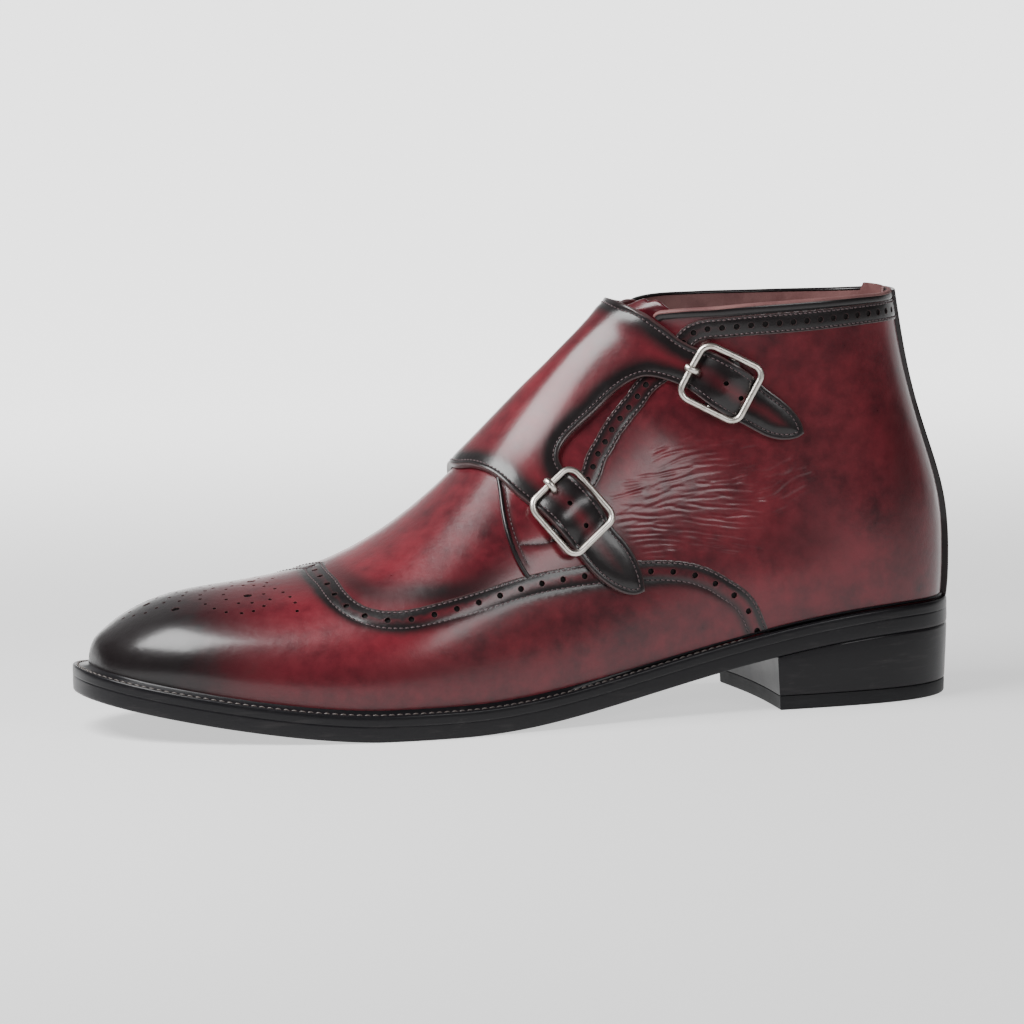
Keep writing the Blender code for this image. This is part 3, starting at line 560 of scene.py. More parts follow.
@dataclass
class Panel:
    """Piece of leather laid on the last, with rounded edges, holes and grooves.

    Args:
        name: Name of the object.
        last: The last that it lies on.
        borders: Its outline, in order.
        height: Height of its face above the last, in millimetres.
        thickness: Depth of its cut edges.
        holes: Punched holes.
        rows: Stitch rows.
        reliefs: Heights added to the face.
        spacing: Wanted distance between points, in millimetres.
        fine: Relief areas, true where points stand closer.
        fine_share: Share of the distance that they keep there.
        two_sided: Whether it crosses the ridge.
        backed: Whether it has an underside.
        edge_round: How far in from a cut edge the face bends down.
        edge_drop: How far it has come down at the edge.
        edge_rows: Distances of the rows of points beside a cut edge.
        hole_sides: Points around a hole.
        pit: Depth of the holes.
        groove: Distance of the points beside a stitch row.
        groove_reach: Reach of the groove that a stitch row pulls in.
        lattice: How its points are laid.
    """

    name: str
    last: Last
    borders: Sequence[Border]
    height: float
    thickness: float = 0.9
    holes: Sequence[Hole] = ()
    rows: Sequence[Row] = ()
    reliefs: Sequence[Relief] = ()
    spacing: float = 1.8
    fine: Callable[[Array], Array] | None = None
    fine_share: float = 0.25
    two_sided: bool = False
    backed: bool = False
    edge_round: float = 0.55
    edge_drop: float = 0.38
    edge_rows: tuple[float, ...] = (0.12, 0.32, 0.62)
    hole_sides: int = 14
    pit: float = 0.85
    groove: float = 0.45
    groove_reach: float = 0.5
    lattice: Lattice = Lattice()
    chart: tuple[Array, Array, Array] = field(init=False)

    def __post_init__(self) -> None:
        """Measure the last for the flat chart."""
        stations = np.linspace(0, 19, 381)
        turns = np.linspace(-1.5, 1.5, 61)
        along, around = self.last.slopes(stations[:, None], turns[None, :])
        run = integrated(np.linalg.norm(along, axis=-1).mean(1), stations)
        self.chart = (stations, run, np.linalg.norm(around, axis=-1).mean(1))

    def flat(self, places: Array) -> Array:
        """Flat chart of places, near to true lengths."""
        station, turn = places[:, 0], places[:, 1]
        if self.two_sided:
            knots, run, width = self.chart
            return np.stack([np.interp(station, knots, run), turn * np.interp(station, knots, width)], -1)
        share = np.linspace(0, 1, 25)
        line = self.last.point(station[:, None], turn[:, None] * share)
        reach = np.linalg.norm(np.diff(line, axis=1), axis=2).sum(1)
        row = Section(*np.moveaxis(self.last.spline.at(station), -1, 0))
        down = np.stack([row.keel_along - row.ridge_along, row.keel_up - row.ridge_up], -1)
        down /= np.linalg.norm(down, axis=1, keepdims=True)
        return np.stack([row.ridge_along, row.ridge_up], -1) + down * reach[:, None]

    def grid(self, loop: Array) -> Array:
        """Lay staggered places over the outline's extent, denser where it is fine.

        Args:
            loop: The outline's places.

        Returns:
            Places inside and outside the outline.
        """
        lattice = self.lattice
        step = self.spacing * self.fine_share if self.fine else self.spacing
        low, high = loop.min(0), loop.max(0)
        knots = np.linspace(low[0], high[0], lattice.stations)
        turns = np.linspace(low[1], high[1], lattice.crossings)
        along, _ = self.last.slopes(knots[:, None], turns[None, :])
        run = integrated(np.linalg.norm(along, axis=-1).max(1), knots)
        count = max(2, int(run[-1] / (step * lattice.row_share)))
        stations = np.interp(np.linspace(0, run[-1], count + 1), run, knots)
        dense = np.linspace(low[1], high[1], lattice.turns)
        rows = []
        for i, (station, span) in enumerate(zip(stations, np.gradient(stations))):
            run = travelled(self.last.point(np.full(len(dense), station), dense))
            marks = np.arange(step * (0.5 if i % 2 else 0.0), run[-1], step)
            turn = np.interp(marks, run, dense)
            place = np.stack([np.full(len(turn), station), turn], -1)
            ahead, _ = self.last.slopes(place[:, 0], turn)
            gap = np.linalg.norm(ahead, axis=1) * span
            wanted = np.full(len(turn), self.spacing)
            if self.fine:
                wanted[self.fine(place)] = step
            skip = self.doubled(wanted * lattice.row_share / np.maximum(gap, lattice.least_gap))
            stride = self.doubled(wanted / step)
            shift = (i // skip % 2) * (stride // 2)
            rows.append(place[(i % skip == 0) & ((np.arange(len(turn)) + shift) % stride == 0)])
        return np.concatenate(rows)

    def doubled(self, ratio: Array) -> Array:
        """Power of two nearest to each ratio."""
        return 2 ** np.clip(np.round(np.log2(ratio)), 0, self.lattice.halvings).astype(int)

    def around_hole(self, hole: Hole, grow: float = 0.0) -> Array:
        """Places around a hole."""
        angle = np.linspace(0, 2 * math.pi, self.hole_sides, endpoint=False)
        station, turn = np.full(len(angle), hole.station), np.full(len(angle), hole.turn)
        along, _ = self.last.slopes(station, turn)
        first = along / np.linalg.norm(along, axis=1, keepdims=True)
        second = np.cross(self.last.normal(station, turn), first)
        x = (hole.radius * hole.stretch + grow) * np.cos(angle)
        y = (hole.radius + grow) * np.sin(angle)
        c, s = math.cos(hole.heading), math.sin(hole.heading)
        step = first * (x * c - y * s)[:, None] + second * (x * s + y * c)[:, None]
        return self.last.stepped(np.stack([station, turn], -1), step)

    def inner(self, path: Path, distance: float, flat_loop: Array) -> Path:
        """Path beside a border, on the side that lies inside the outline."""
        trial = path.even(2.0).beside(0.4)
        sign = 1 if inside(flat_loop, self.flat(trial.places)).mean() > 0.5 else -1
        return path.beside(sign * distance)

    def outline(self) -> tuple[Array, list[Kind]]:
        """Walk round the borders.

        Returns:
            The outline's places, and for each the kind of the edge that leads to it.
        """
        loop: list[Array] = []
        kinds: list[Kind] = []
        for border in self.borders:
            places = border.path.places
            meets = bool(loop) and np.allclose(loop[-1], places[0], atol=self.lattice.meeting)
            if meets:
                places = places[1:]
            first = len(loop)
            loop.extend(places)
            kinds.extend([border.kind] * len(places))
            if first and not meets:
                kinds[first] = Kind.TUCKED
        if np.allclose(loop[0], loop[-1], atol=self.lattice.meeting):
            loop.pop()
            kinds[0] = kinds.pop()
        return np.array(loop), kinds

    def guides(self, loop: Array, flat_loop: Array, cut: Sequence[Path]) -> Array:
        """Places beside edges, rows and holes, where the face bends.

        Args:
            loop: The outline's places.
            flat_loop: The outline on the flat chart.
            cut: The borders that are cut edges.

        Returns:
            Places that keep clear of the outline, the holes and each other.
        """
        near = []
        for path in cut:
            if self.edge_rows:
                even = path.even(self.lattice.edge_step)
                near.extend(self.inner(even, d, flat_loop).places for d in self.edge_rows)
        for row in self.rows:
            even = row.path.even(row.pitch / 2)
            near.append(even.places)
            near.extend(even.beside(d).places for d in (-self.groove, self.groove))
        near.extend(self.around_hole(hole, self.lattice.hole_band) for hole in self.holes)
        if not near:
            return np.zeros((0, 2))
        near = np.concatenate(near)
        near = near[inside(flat_loop, self.flat(near))]
        near = self.thinned(self.clear_of(near, loop, self.lattice.outline_gap), self.lattice.guide_gap)
        return self.outside_holes(near, self.lattice.guide_hole_gap)

    def build(self, finish: Finish) -> bpy.types.Object:
        """Make the panel's mesh and dress it.

        Args:
            finish: The finish that dyes its points and gives its material.

        Returns:
            The object, riding on the body.
        """
        loop, kinds = self.outline()
        flat_loop = self.flat(loop)
        cut = [border.path for border in self.borders if border.kind is Kind.CUT]
        rings = [self.around_hole(hole) for hole in self.holes]
        near = self.guides(loop, flat_loop, cut)
        grid = self.grid(loop)
        grid = grid[inside(flat_loop, self.flat(grid))]
        fixed = np.concatenate([loop, near, *rings])
        distance = Nearest(self.last.point(*fixed.T)).distance(self.last.point(*grid.T))
        wanted = np.full(len(grid), self.spacing)
        if self.fine:
            wanted[self.fine(grid)] = self.spacing * self.fine_share
        grid = grid[distance > self.lattice.clearance * wanted]
        grid = self.outside_holes(grid, self.lattice.grid_hole_gap)
        places = np.concatenate([loop, *rings, near, grid])
        corners = self.triangles(self.flat(places), flat_loop, rings)
        ground = self.ground(places, cut)
        start = len(loop)
        skin = Skin(
            ground.points, self.last.normal(*places.T), self.heights(ground), corners, finish.dyed(ground),
            slice(start, start + sum(map(len, rings))),
        )
        skin.edges(kinds, self.thickness, self.backed)
        for ring in rings:
            skin.pit(start, len(ring), self.pit)
            start += len(ring)
        thing = skin.mesh(self.name)
        tidied(thing, np.flatnonzero(places[:, 0] < TINY))
        return finish.dress(thing)

    def triangles(self, flat: Array, flat_loop: Array, rings: Sequence[Array]) -> Array:
        """Triangulate the face between the outline and the holes.

        Args:
            flat: Every point on the flat chart: the outline, the holes' rings, then the rest.
            flat_loop: The outline on the flat chart.
            rings: Places around each hole.

        Returns:
            Corner numbers of the triangles, one row each.
        """
        edges = [(i, (i + 1) % len(flat_loop)) for i in range(len(flat_loop))]
        start = len(flat_loop)
        for ring in rings:
            edges.extend((start + i, start + (i + 1) % len(ring)) for i in range(len(ring)))
            start += len(ring)
        out = delaunay_2d_cdt([Vector(p) for p in flat.tolist()], edges, [], 0, TINY, True)
        origin = np.array([own[0] if own else -1 for own in out[3]])
        corners = origin[np.array([tuple(face) for face in out[2]])]
        corners = corners[(corners >= 0).all(1)]
        middle = flat[corners].mean(1)
        keep = inside(flat_loop, middle)
        start = len(flat_loop)
        for ring in rings:
            ring_flat = flat[start:start + len(ring)]
            start += len(ring)
            centre, reach = ring_flat.mean(0), np.ptp(ring_flat, axis=0).max()
            close = np.abs(middle - centre).max(1) < reach
            keep[close] &= ~inside(ring_flat, middle[close])
        return corners[keep]

    def clear_of(self, places: Array, others: Array, gap: float) -> Array:
        """Places that keep a gap from others."""
        return places[Nearest(self.last.point(*others.T)).distance(self.last.point(*places.T)) > gap]

    def thinned(self, places: Array, gap: float) -> Array:
        """Places without those that stand closer than a gap to an earlier one."""
        points = self.last.point(*places.T)
        tree = Nearest(points).tree
        kept = np.ones(len(points), bool)
        for i, point in enumerate(points.tolist()):
            if kept[i]:
                for _, j, _ in tree.find_range(point, gap):
                    if j > i:
                        kept[j] = False
        return places[kept]

    def outside_holes(self, places: Array, gap: float) -> Array:
        """Places that lie outside every hole by a gap."""
        points = self.last.point(*places.T)
        keep = np.ones(len(places), bool)
        for hole in self.holes:
            spot = np.array([hole.station]), np.array([hole.turn])
            offset = points - self.last.point(*spot)[0]
            long, short = hole.radius * hole.stretch + gap, hole.radius + gap
            close = np.linalg.norm(offset, axis=1) < long
            if close.any():
                along, _ = self.last.slopes(*spot)
                first = along[0] / np.linalg.norm(along[0])
                second = np.cross(self.last.normal(*spot)[0], first)
                x, y = offset[close] @ first, offset[close] @ second
                c, s = math.cos(hole.heading), math.sin(hole.heading)
                keep[close] &= ((x * c + y * s) / long) ** 2 + ((y * c - x * s) / short) ** 2 > 1
        return places[keep]

    def ground(self, places: Array, cut: Sequence[Path]) -> Ground:
        """Measure places against the panel's cut edges and stitch rows."""
        points = self.last.point(*places.T)
        edge = row = np.full(len(places), FAR)
        if cut:
            edge = self.reach(cut, self.lattice.edge_samples, points)
        if self.rows:
            row = self.reach([row.path for row in self.rows], self.lattice.row_samples, points)
        return Ground(places, points, edge, row)

    def reach(self, paths: Sequence[Path], step: float, points: Array) -> Array:
        """Distance from points to the nearest of some paths."""
        return Nearest(np.concatenate([path.even(step).points() for path in paths])).distance(points)

    def heights(self, ground: Ground) -> Array:
        """Height of the face at each point."""
        height = np.full(len(ground.places), self.height)
        for relief in self.reliefs:
            height += relief(ground)
        part = np.clip(1 - ground.edge / self.edge_round, 0, 1)
        height -= self.edge_drop * (1 - np.sqrt(1 - part**2))
        if self.rows:
            depth = np.mean([row.depth for row in self.rows])
            height -= depth * np.exp(-((ground.row / self.groove_reach) ** 2))
        return height


@dataclass
class Skin:
    """Mesh of a panel while it is put together.

    Args:
        ground: Points on the last under the face.
        normal: Normals there.
        height: Height of the face over each.
        corners: Corner numbers of the face's triangles.
        dye: Numbers that the points carry, under their names.
        around: The points around holes.
        wall: Width of a pit where its wall begins, as a share of the hole's.
        wall_down: Depth of that place.
        floor: Width of a pit's floor, as a share of the hole's.
        wall_pit: How much painted shade the wall gets, against the floor's full shade.
        ring_rim: How strongly the edge of a hole is painted with a pale highlight.
        wall_rim: How strongly the start of its wall is painted with a pale highlight.
    """

    ground: Array
    normal: Array
    height: Array
    corners: Array
    dye: dict[str, Array]
    around: slice
    wall: float = 0.93
    wall_down: float = 0.2
    floor: float = 0.86
    wall_pit: float = 0.35
    ring_rim: float = 0.5
    wall_rim: float = 0.9
    top: Array = field(init=False)

    def __post_init__(self) -> None:
        """Raise the face, turn its triangles outwards and paint a pale highlight on the edges of holes."""
        # Painted highlight on the ring round each hole.
        self.dye["rim"][self.around] = self.ring_rim
        self.top = self.ground + self.height[:, None] * self.normal
        a, b, c = (self.top[self.corners[:, k]] for k in range(3))
        facing = (np.cross(b - a, c - a) * self.normal[self.corners[:, 0]]).sum(1)
        self.corners = np.where((facing < 0)[:, None], self.corners[:, ::-1], self.corners)
        triangles = self.corners.tolist()
        self.faces = [tuple(triangle) for triangle in triangles]
        self.sides = {side for x, y, z in triangles for side in ((x, y), (y, z), (z, x))}
        self.points = [self.top]
        self.dyes = {key: [value] for key, value in self.dye.items()}
        self.count = len(self.top)

    def add(self, rows: Array, sources: Array, **marks: float) -> int:
        """Add points, dyed like others.

        Args:
            rows: The new points.
            sources: Numbers of the points whose dyes they take.
            marks: Dyes that they don't take, with their values instead.

        Returns:
            Number of the first new point.
        """
        self.points.append(rows)
        for key, value in self.dye.items():
            self.dyes[key].append(np.full(len(rows), marks[key]) if key in marks else value[sources])
        self.count += len(rows)
        return self.count - len(rows)

    def edges(self, kinds: Sequence[Kind], thickness: float, backed: bool) -> None:
        """Add the walls of the edges, and the underside.

        Args:
            kinds: For each point of the outline, the kind of the edge that leads to it.
            thickness: How far the walls go down.
            backed: Whether there is an underside.
        """
        n = len(kinds)
        below = len(self.top) if backed else n
        start = self.add((self.top - thickness * self.normal)[:below], np.arange(below))
        if backed:
            self.faces.extend((start + x, start + z, start + y) for x, y, z in self.corners.tolist())
        for i in range(n):
            j = (i + 1) % n
            if kinds[j] is Kind.FOLD or (kinds[j] is Kind.TUCKED and not backed):
                continue
            p, q = (i, j) if (i, j) in self.sides else (j, i)
            self.faces.append((q, p, start + p, start + q))

    def pit(self, start: int, sides: int, depth: float) -> None:
        """Sink a hole with wall and floor, marked for painted shade inside and a pale painted highlight at
        the wall's top.

        Args:
            start: Number of the first point around the hole.
            sides: Number of points around it.
            depth: Depth of the floor.
        """
        own = np.arange(start, start + sides)
        centre, normal = self.top[own].mean(0), self.normal[own]
        spoke = self.top[own] - centre
        wall = centre + spoke * self.wall - self.wall_down * normal
        floor = centre + spoke * self.floor - depth * normal
        # The wall gets part of the painted shade and a painted highlight; the floor gets the full painted
        # shade.
        first = self.add(wall, own, pit=self.wall_pit, rim=self.wall_rim)
        second = self.add(floor, own, pit=1.0)
        third = self.add(floor.mean(0, keepdims=True), own[:1], pit=1.0)
        for i in range(sides):
            j = (i + 1) % sides
            a, b = (i, j) if (start + i, start + j) in self.sides else (j, i)
            self.faces.append((start + b, start + a, first + a, first + b))
            self.faces.append((first + b, first + a, second + a, second + b))
            self.faces.append((second + b, second + a, third))

    def mesh(self, name: str) -> bpy.types.Object:
        """Object of everything added so far."""
        thing = mesh_object(name, np.concatenate(self.points), self.faces)
        attributes(thing, {key: np.concatenate(value) for key, value in self.dyes.items()})
        return thing


def mesh_object(name: str, points: Array, faces: Iterable[Sequence[int]]) -> bpy.types.Object:
    """Object of points in shoe millimetres, in the scene and riding on the body.

    Args:
        name: Name of the object and its mesh.
        points: Points in shoe millimetres.
        faces: Corners of the faces.

    Returns:
        The new object.
    """
    mesh = bpy.data.meshes.new(name)
    mesh.from_pydata(world(points).tolist(), [], list(faces))
    mesh.update()
    thing = bpy.data.objects.new(name, mesh)
    bpy.context.scene.collection.objects.link(thing)
    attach(thing, BODY)
    return thing


def welded(thing: bpy.types.Object, gap: float) -> None:
    """Join points that stand closer than a gap in millimetres, and turn the faces outwards."""
    form = bmesh.new()
    form.from_mesh(thing.data)
    bmesh.ops.remove_doubles(form, verts=form.verts, dist=gap * MM)
    bmesh.ops.recalc_face_normals(form, faces=form.faces)
    form.to_mesh(thing.data)
    form.free()


def shaded(thing: bpy.types.Object, sharp: float | None = None) -> None:
    """Shade smooth; edges bent by more than `sharp` degrees stay sharp."""
    thing.data.shade_smooth()
    if sharp is not None:
        thing.data.set_sharp_from_angle(angle=math.radians(sharp))


def walls(count: int, loops: int) -> Faces:
    """Faces between closed loops of `count` points each, numbered one loop after another."""
    faces = []
    for k in range(loops - 1):
        for i in range(count):
            j = (i + 1) % count
            faces.append((k * count + i, k * count + j, (k + 1) * count + j, (k + 1) * count + i))
    return faces


def attributes(thing: bpy.types.Object, values: dict[str, Array]) -> None:
    """Store a number for each point under each name."""
    for key, value in values.items():
        layer = thing.data.attributes.new(key, "FLOAT", "POINT")
        layer.data.foreach_set("value", np.ascontiguousarray(value, np.float32))


def tidied(thing: bpy.types.Object, folds: Array) -> None:
    """Weld the points of the fold, drop loose ones, and shade the mesh."""
    form = bmesh.new()
    form.from_mesh(thing.data)
    form.verts.ensure_lookup_table()
    if len(folds):
        own = [form.verts[int(i)] for i in folds]
        bmesh.ops.remove_doubles(form, verts=own, dist=FOLD_WELD * MM)
    loose = [v for v in form.verts if not v.link_faces]
    bmesh.ops.delete(form, geom=loose, context="VERTS")
    form.to_mesh(thing.data)
    form.free()
    shaded(thing, PANEL_SHARP)


# ---- shader nodes ----

class Wire:
    """Number coming out of a node, with arithmetic that adds Math nodes."""

    def __init__(self, graph: Graph, socket: bpy.types.NodeSocket) -> None:
        """Hold a socket and the graph that it belongs to."""
        self.graph = graph
        self.socket = socket

    def math(self, operation: str, *values: Wire | float, clamp: bool = False) -> Wire:
        """Result of a Math node on this number and others."""
        settings = {"operation": operation, "use_clamp": clamp}
        node = self.graph.node("ShaderNodeMath", settings, dict(enumerate((self, *values))))
        return Wire(self.graph, node.outputs[0])

    def __add__(self, other: Wire | float) -> Wire:
        """Sum with another number."""
        return self.math("ADD", other)

    def __mul__(self, other: Wire | float) -> Wire:
        """Product with another number."""
        return self.math("MULTIPLY", other)

    def __sub__(self, other: Wire | float) -> Wire:
        """Difference from another number."""
        return self.math("SUBTRACT", other)

    def __rsub__(self, other: float) -> Wire:
        """Difference of a constant from this number."""
        return self * -1.0 + other

    __radd__ = __add__
    __rmul__ = __mul__

    def step(self, low: float, high: float) -> Wire:
        """Smooth step from 0 at `low` to 1 at `high`."""
        node = self.graph.node(
            "ShaderNodeMapRange",
            {"interpolation_type": "SMOOTHSTEP"},
            {"Value": self, "From Min": low, "From Max": high, "To Min": 0.0, "To Max": 1.0},
        )
        return Wire(self.graph, node.outputs["Result"])

    def held(self) -> Wire:
        """This number kept between 0 and 1."""
        return self.math("ADD", 0.0, clamp=True)


class Tint(Wire):
    """Colour coming out of a node, mixed by Mix nodes."""

    def mix(self, other: Tint | Colour, share: Wire | float) -> Tint:
        """Blend with another colour by a share."""
        settings = {"data_type": "RGBA", "clamp_factor": True}
        node = self.graph.node("ShaderNodeMix", settings, {0: share, 6: self, 7: other})
        return Tint(self.graph, node.outputs[2])


class Heading(Wire):
    """Vector coming out of a node, worked on by Vector Math nodes."""

    def __mul__(self, other: Heading | Colour) -> Heading:
        """Product of the parts of two vectors."""
        node = self.graph.node("ShaderNodeVectorMath", {"operation": "MULTIPLY"}, {0: self, 1: other})
        return Heading(self.graph, node.outputs[0])

    __rmul__ = __mul__


class Noise(NamedTuple):
    """Cloudy noise: size of its features in millimetres, its detail and its roughness."""

    size: float
    detail: float = 2.0
    rough: float = 0.5


class Graph:
    """Node tree of one material."""

    def __init__(self, name: str) -> None:
        """Start a material with an output and one Principled shader."""
        self.material = bpy.data.materials.new(name)
        self.material.use_nodes = True
        self.tree = self.material.node_tree
        self.shader = self.tree.nodes["Principled BSDF"]

    def node(self, kind: str, settings: dict[str, object], inputs: dict[str | int, object]) -> bpy.types.Node:
        """Add a node.

        Args:
            kind: Blender's name of the node's type.
            settings: Properties of the node.
            inputs: Values of its sockets, as wires or constants.

        Returns:
            The node.
        """
        made = self.tree.nodes.new(kind)
        for key, value in settings.items():
            setattr(made, key, value)
        for key, value in inputs.items():
            self.feed(made.inputs[key], value)
        return made

    def feed(self, socket: bpy.types.NodeSocket, value: object) -> None:
        """Link a wire to a socket, or set a constant on it."""
        if isinstance(value, Wire):
            self.tree.links.new(value.socket, socket)
        elif isinstance(value, tuple) and len(socket.default_value) == 4:
            socket.default_value = (*value, 1.0)
        elif hasattr(socket.default_value, "__len__") and not isinstance(value, tuple):
            socket.default_value = (value,) * len(socket.default_value)
        else:
            socket.default_value = value

    def surface(self, **values: object) -> None:
        """Set the Principled shader's inputs, with _ for the spaces in their names."""
        for key, value in values.items():
            self.feed(self.shader.inputs[key.replace("_", " ")], value)

    def place(self, stretch: Colour = (1.0, 1.0, 1.0)) -> Heading:
        """Place on the object in millimetres, stretched along its axes."""
        node = self.node("ShaderNodeTexCoord", {}, {})
        scale = tuple(part / MM for part in stretch)
        return Heading(self, node.outputs["Object"]) * scale

    def mark(self, name: str) -> Wire:
        """Number stored on the mesh under a name."""
        node = self.node("ShaderNodeAttribute", {"attribute_name": name}, {})
        return Wire(self, node.outputs["Fac"])

    def tint(self, colour: Colour) -> Tint:
        """A constant colour that can be mixed."""
        node = self.node("ShaderNodeMix", {"data_type": "RGBA"}, {0: 0.0, 6: colour, 7: colour})
        return Tint(self, node.outputs[2])

    def noise(self, place: Heading, noise: Noise) -> Wire:
        """Cloudy noise around one half."""
        inputs = {"Vector": place, "Scale": 1 / noise.size, "Detail": noise.detail, "Roughness": noise.rough}
        return Wire(self, self.node("ShaderNodeTexNoise", {}, inputs).outputs["Fac"])

    def cells(self, place: Heading, size: float) -> Wire:
        """Distances in cells of a size in millimetres."""
        node = self.node("ShaderNodeTexVoronoi", {}, {"Vector": place, "Scale": 1 / size})
        return Wire(self, node.outputs["Distance"])

    def bump(self, height: Wire, depth: float) -> Heading:
        """Normal bent by a height whose full range is `depth` millimetres."""
        inputs = {"Height": height, "Distance": depth * MM, "Strength": 1.0}
        return Heading(self, self.node("ShaderNodeBump", {}, inputs).outputs["Normal"])


# ---- finishes ----

class Patch(NamedTuple):
    """Soft oval area in the side view, in millimetres, with its weight."""

    along: float
    up: float
    reach_along: float
    reach_up: float
    weight: float
    lean: float = 0.0
    both_sides: bool = True

    def share(self, points: Array) -> Array:
        """Weight of the patch at points."""
        x, z = points[:, 0] - self.along, points[:, 2] - self.up
        c, s = math.cos(self.lean), math.sin(self.lean)
        reach = ((x * c + z * s) / self.reach_along) ** 2 + ((z * c - x * s) / self.reach_up) ** 2
        share = self.weight * np.exp(-reach)
        return share if self.both_sides else share * (points[:, 1] < 0)


@dataclass(frozen=True)
class Finish:
    """What a piece is made of: how its points are dyed, and its material."""

    name: str
    slot: str

    def dyed(self, ground: Ground) -> dict[str, Array]:
        """Numbers stored on the mesh for the material, under their names."""
        return {"pit": np.zeros(len(ground.places))}

    def paint(self, graph: Graph) -> None:
        """Add the material's nodes."""
        raise NotImplementedError

    def dress(self, thing: bpy.types.Object) -> bpy.types.Object:
        """Give a piece this finish's material."""
        made = bpy.data.materials.get(self.name)
        if made is None:
            graph = Graph(self.name)
            self.paint(graph)
            made = graph.material
        thing.data.materials.clear()
        thing.data.materials.append(made)
        return thing


@dataclass(frozen=True)
class Leather(Finish):
    """Polished calf, red through burgundy, burnished to black by hand.

    Weights are given for cloud, mottle and fleck in turn.
    """

    slot: str = "burgundy_leather"
    deep: Colour = (0.034, 0.0048, 0.0078)
    warm: Colour = (0.130, 0.0108, 0.0180)
    black: Colour = (0.0075, 0.0055, 0.0060)
    edge_width: float = 0.0
    edge_weight: float = 0.9
    row_weight: float = 0.35
    row_reach: float = 1.3
    base: float = 0.0
    patches: tuple[Patch, ...] = ()
    reds: tuple[Patch, ...] = ()
    # Pale colour of a painted highlight along cut edges and round holes.
    rim_highlight: Colour = (0.16, 0.085, 0.085)
    # Near black of the painted shade inside holes.
    hole_shade: Colour = (0.004, 0.003, 0.003)
    rim_highlight_reach: float = 0.35
    rim_highlight_weight: float = 0.35
    cloud: Noise = Noise(26.0, 3.0, 0.55)
    mottle: Noise = Noise(5.5, 2.0, 0.5)
    fleck: Noise = Noise(1.1, 3.0, 0.6)
    fine: Noise = Noise(0.34, 3.0, 0.6)
    folds: Noise = Noise(2.4, 3.0, 0.5)
    pore_size: float = 0.62
    warmth: Colour = (1.5, 1.1, 0.3)
    warm_from: float = 0.98
    red_weight: float = 0.8
    ragged: Colour = (0.35, 0.35, 0.10)
    burnt: tuple[float, float] = (0.12, 0.95)
    hole_shade_ramp: tuple[float, float] = (0.1, 0.7)
    most_burnish: float = 1.4
    relief: Colour = (0.4, 0.1, 1.2)
    roughness: Colour = (0.16, 0.10, 0.4)
    rough_drop: float = 0.13
    grain: float = 0.062
    rough: float = 0.33
    coat: float = 0.42
    coat_rough: float = 0.20
    specular: float = 0.22

    def dyed(self, ground: Ground) -> dict[str, Array]:
        """Burnish and warmth of each point, its pits, and a painted highlight along its cut edges."""
        burnish = np.full(len(ground.places), self.base)
        if self.edge_width:
            burnish += self.edge_weight * np.exp(-((ground.edge / self.edge_width) ** 2))
        burnish += self.row_weight * np.exp(-((ground.row / self.row_reach) ** 2))
        for patch in self.patches:
            burnish += patch.share(ground.points)
        warmth = np.zeros(len(ground.places))
        for patch in self.reds:
            warmth += patch.share(ground.points)
        return {
            "pit": np.zeros(len(ground.places)),
            "burnish": np.clip(burnish, 0, self.most_burnish),
            "warmth": np.clip(warmth, -1, 1),
            "rim": np.exp(-((ground.edge / self.rim_highlight_reach) ** 2)),
        }

    def paint(self, graph: Graph) -> None:
        """Cloudy dye under a burnish that breaks up at its border, with grain and coat."""
        place = graph.place()
        cloud, mottle, fleck = (graph.noise(place, noise) for noise in (self.cloud, self.mottle, self.fleck))
        w, r = self.warmth, self.ragged
        clouds = cloud * w[0] + mottle * w[1] + fleck * w[2]
        warmth = (clouds - self.warm_from + graph.mark("warmth") * self.red_weight).held()
        dye = graph.tint(self.deep).mix(self.warm, warmth)
        ragged = graph.mark("burnish") + (mottle - 0.5) * r[1] + (cloud - 0.5) * r[0] + (fleck - 0.5) * r[2]
        dye = dye.mix(self.black, ragged.step(*self.burnt))
        # Painted highlight: a pale line along cut edges and on the rims of holes.
        dye = dye.mix(self.rim_highlight, graph.mark("rim") * self.rim_highlight_weight)
        # Painted shade: the pit mark turns the holes' walls and floors near black, and also takes off their
        # coat and roughens them.
        pit = graph.mark("pit")
        dye = dye.mix(self.hole_shade, pit.step(*self.hole_shade_ramp))
        pores = graph.cells(place, self.pore_size)
        grain, folds = graph.noise(place, self.fine), graph.noise(place, self.folds)
        height = grain * self.relief[0] + pores * self.relief[1] + folds * self.relief[2]
        rough = mottle * self.roughness[0] + fleck * self.roughness[1]
        rough = rough + (self.rough - self.rough_drop) + pit * self.roughness[2]
        graph.surface(
            Base_Color=dye,
            Roughness=rough,
            Coat_Weight=(1.0 - pit) * self.coat,
            Coat_Roughness=self.coat_rough,
            Specular_IOR_Level=self.specular,
            Normal=graph.bump(height, self.grain),
        )


@dataclass(frozen=True)
class Suede(Finish):
    """Matt lining or insole leather, cloudy and slightly worn."""

    colour: Colour = (0.105, 0.036, 0.036)
    pale: Colour = (0.19, 0.085, 0.08)
    cloud: Noise = Noise(14.0, 4.0, 0.6)
    nap: Noise = Noise(0.4, 3.0, 0.65)
    nap_weight: float = 0.4
    paler: tuple[float, float] = (0.45, 0.95)
    rough: float = 0.62
    rough_spread: float = 0.2
    relief: float = 0.05

    def paint(self, graph: Graph) -> None:
        """Two tones in clouds, with a fine nap."""
        place = graph.place()
        cloud, nap = graph.noise(place, self.cloud), graph.noise(place, self.nap)
        tone = graph.tint(self.colour).mix(self.pale, (cloud + nap * self.nap_weight).step(*self.paler))
        rough = nap * self.rough_spread + (self.rough - self.rough_spread / 2)
        graph.surface(Base_Color=tone, Roughness=rough, Normal=graph.bump(nap, self.relief))


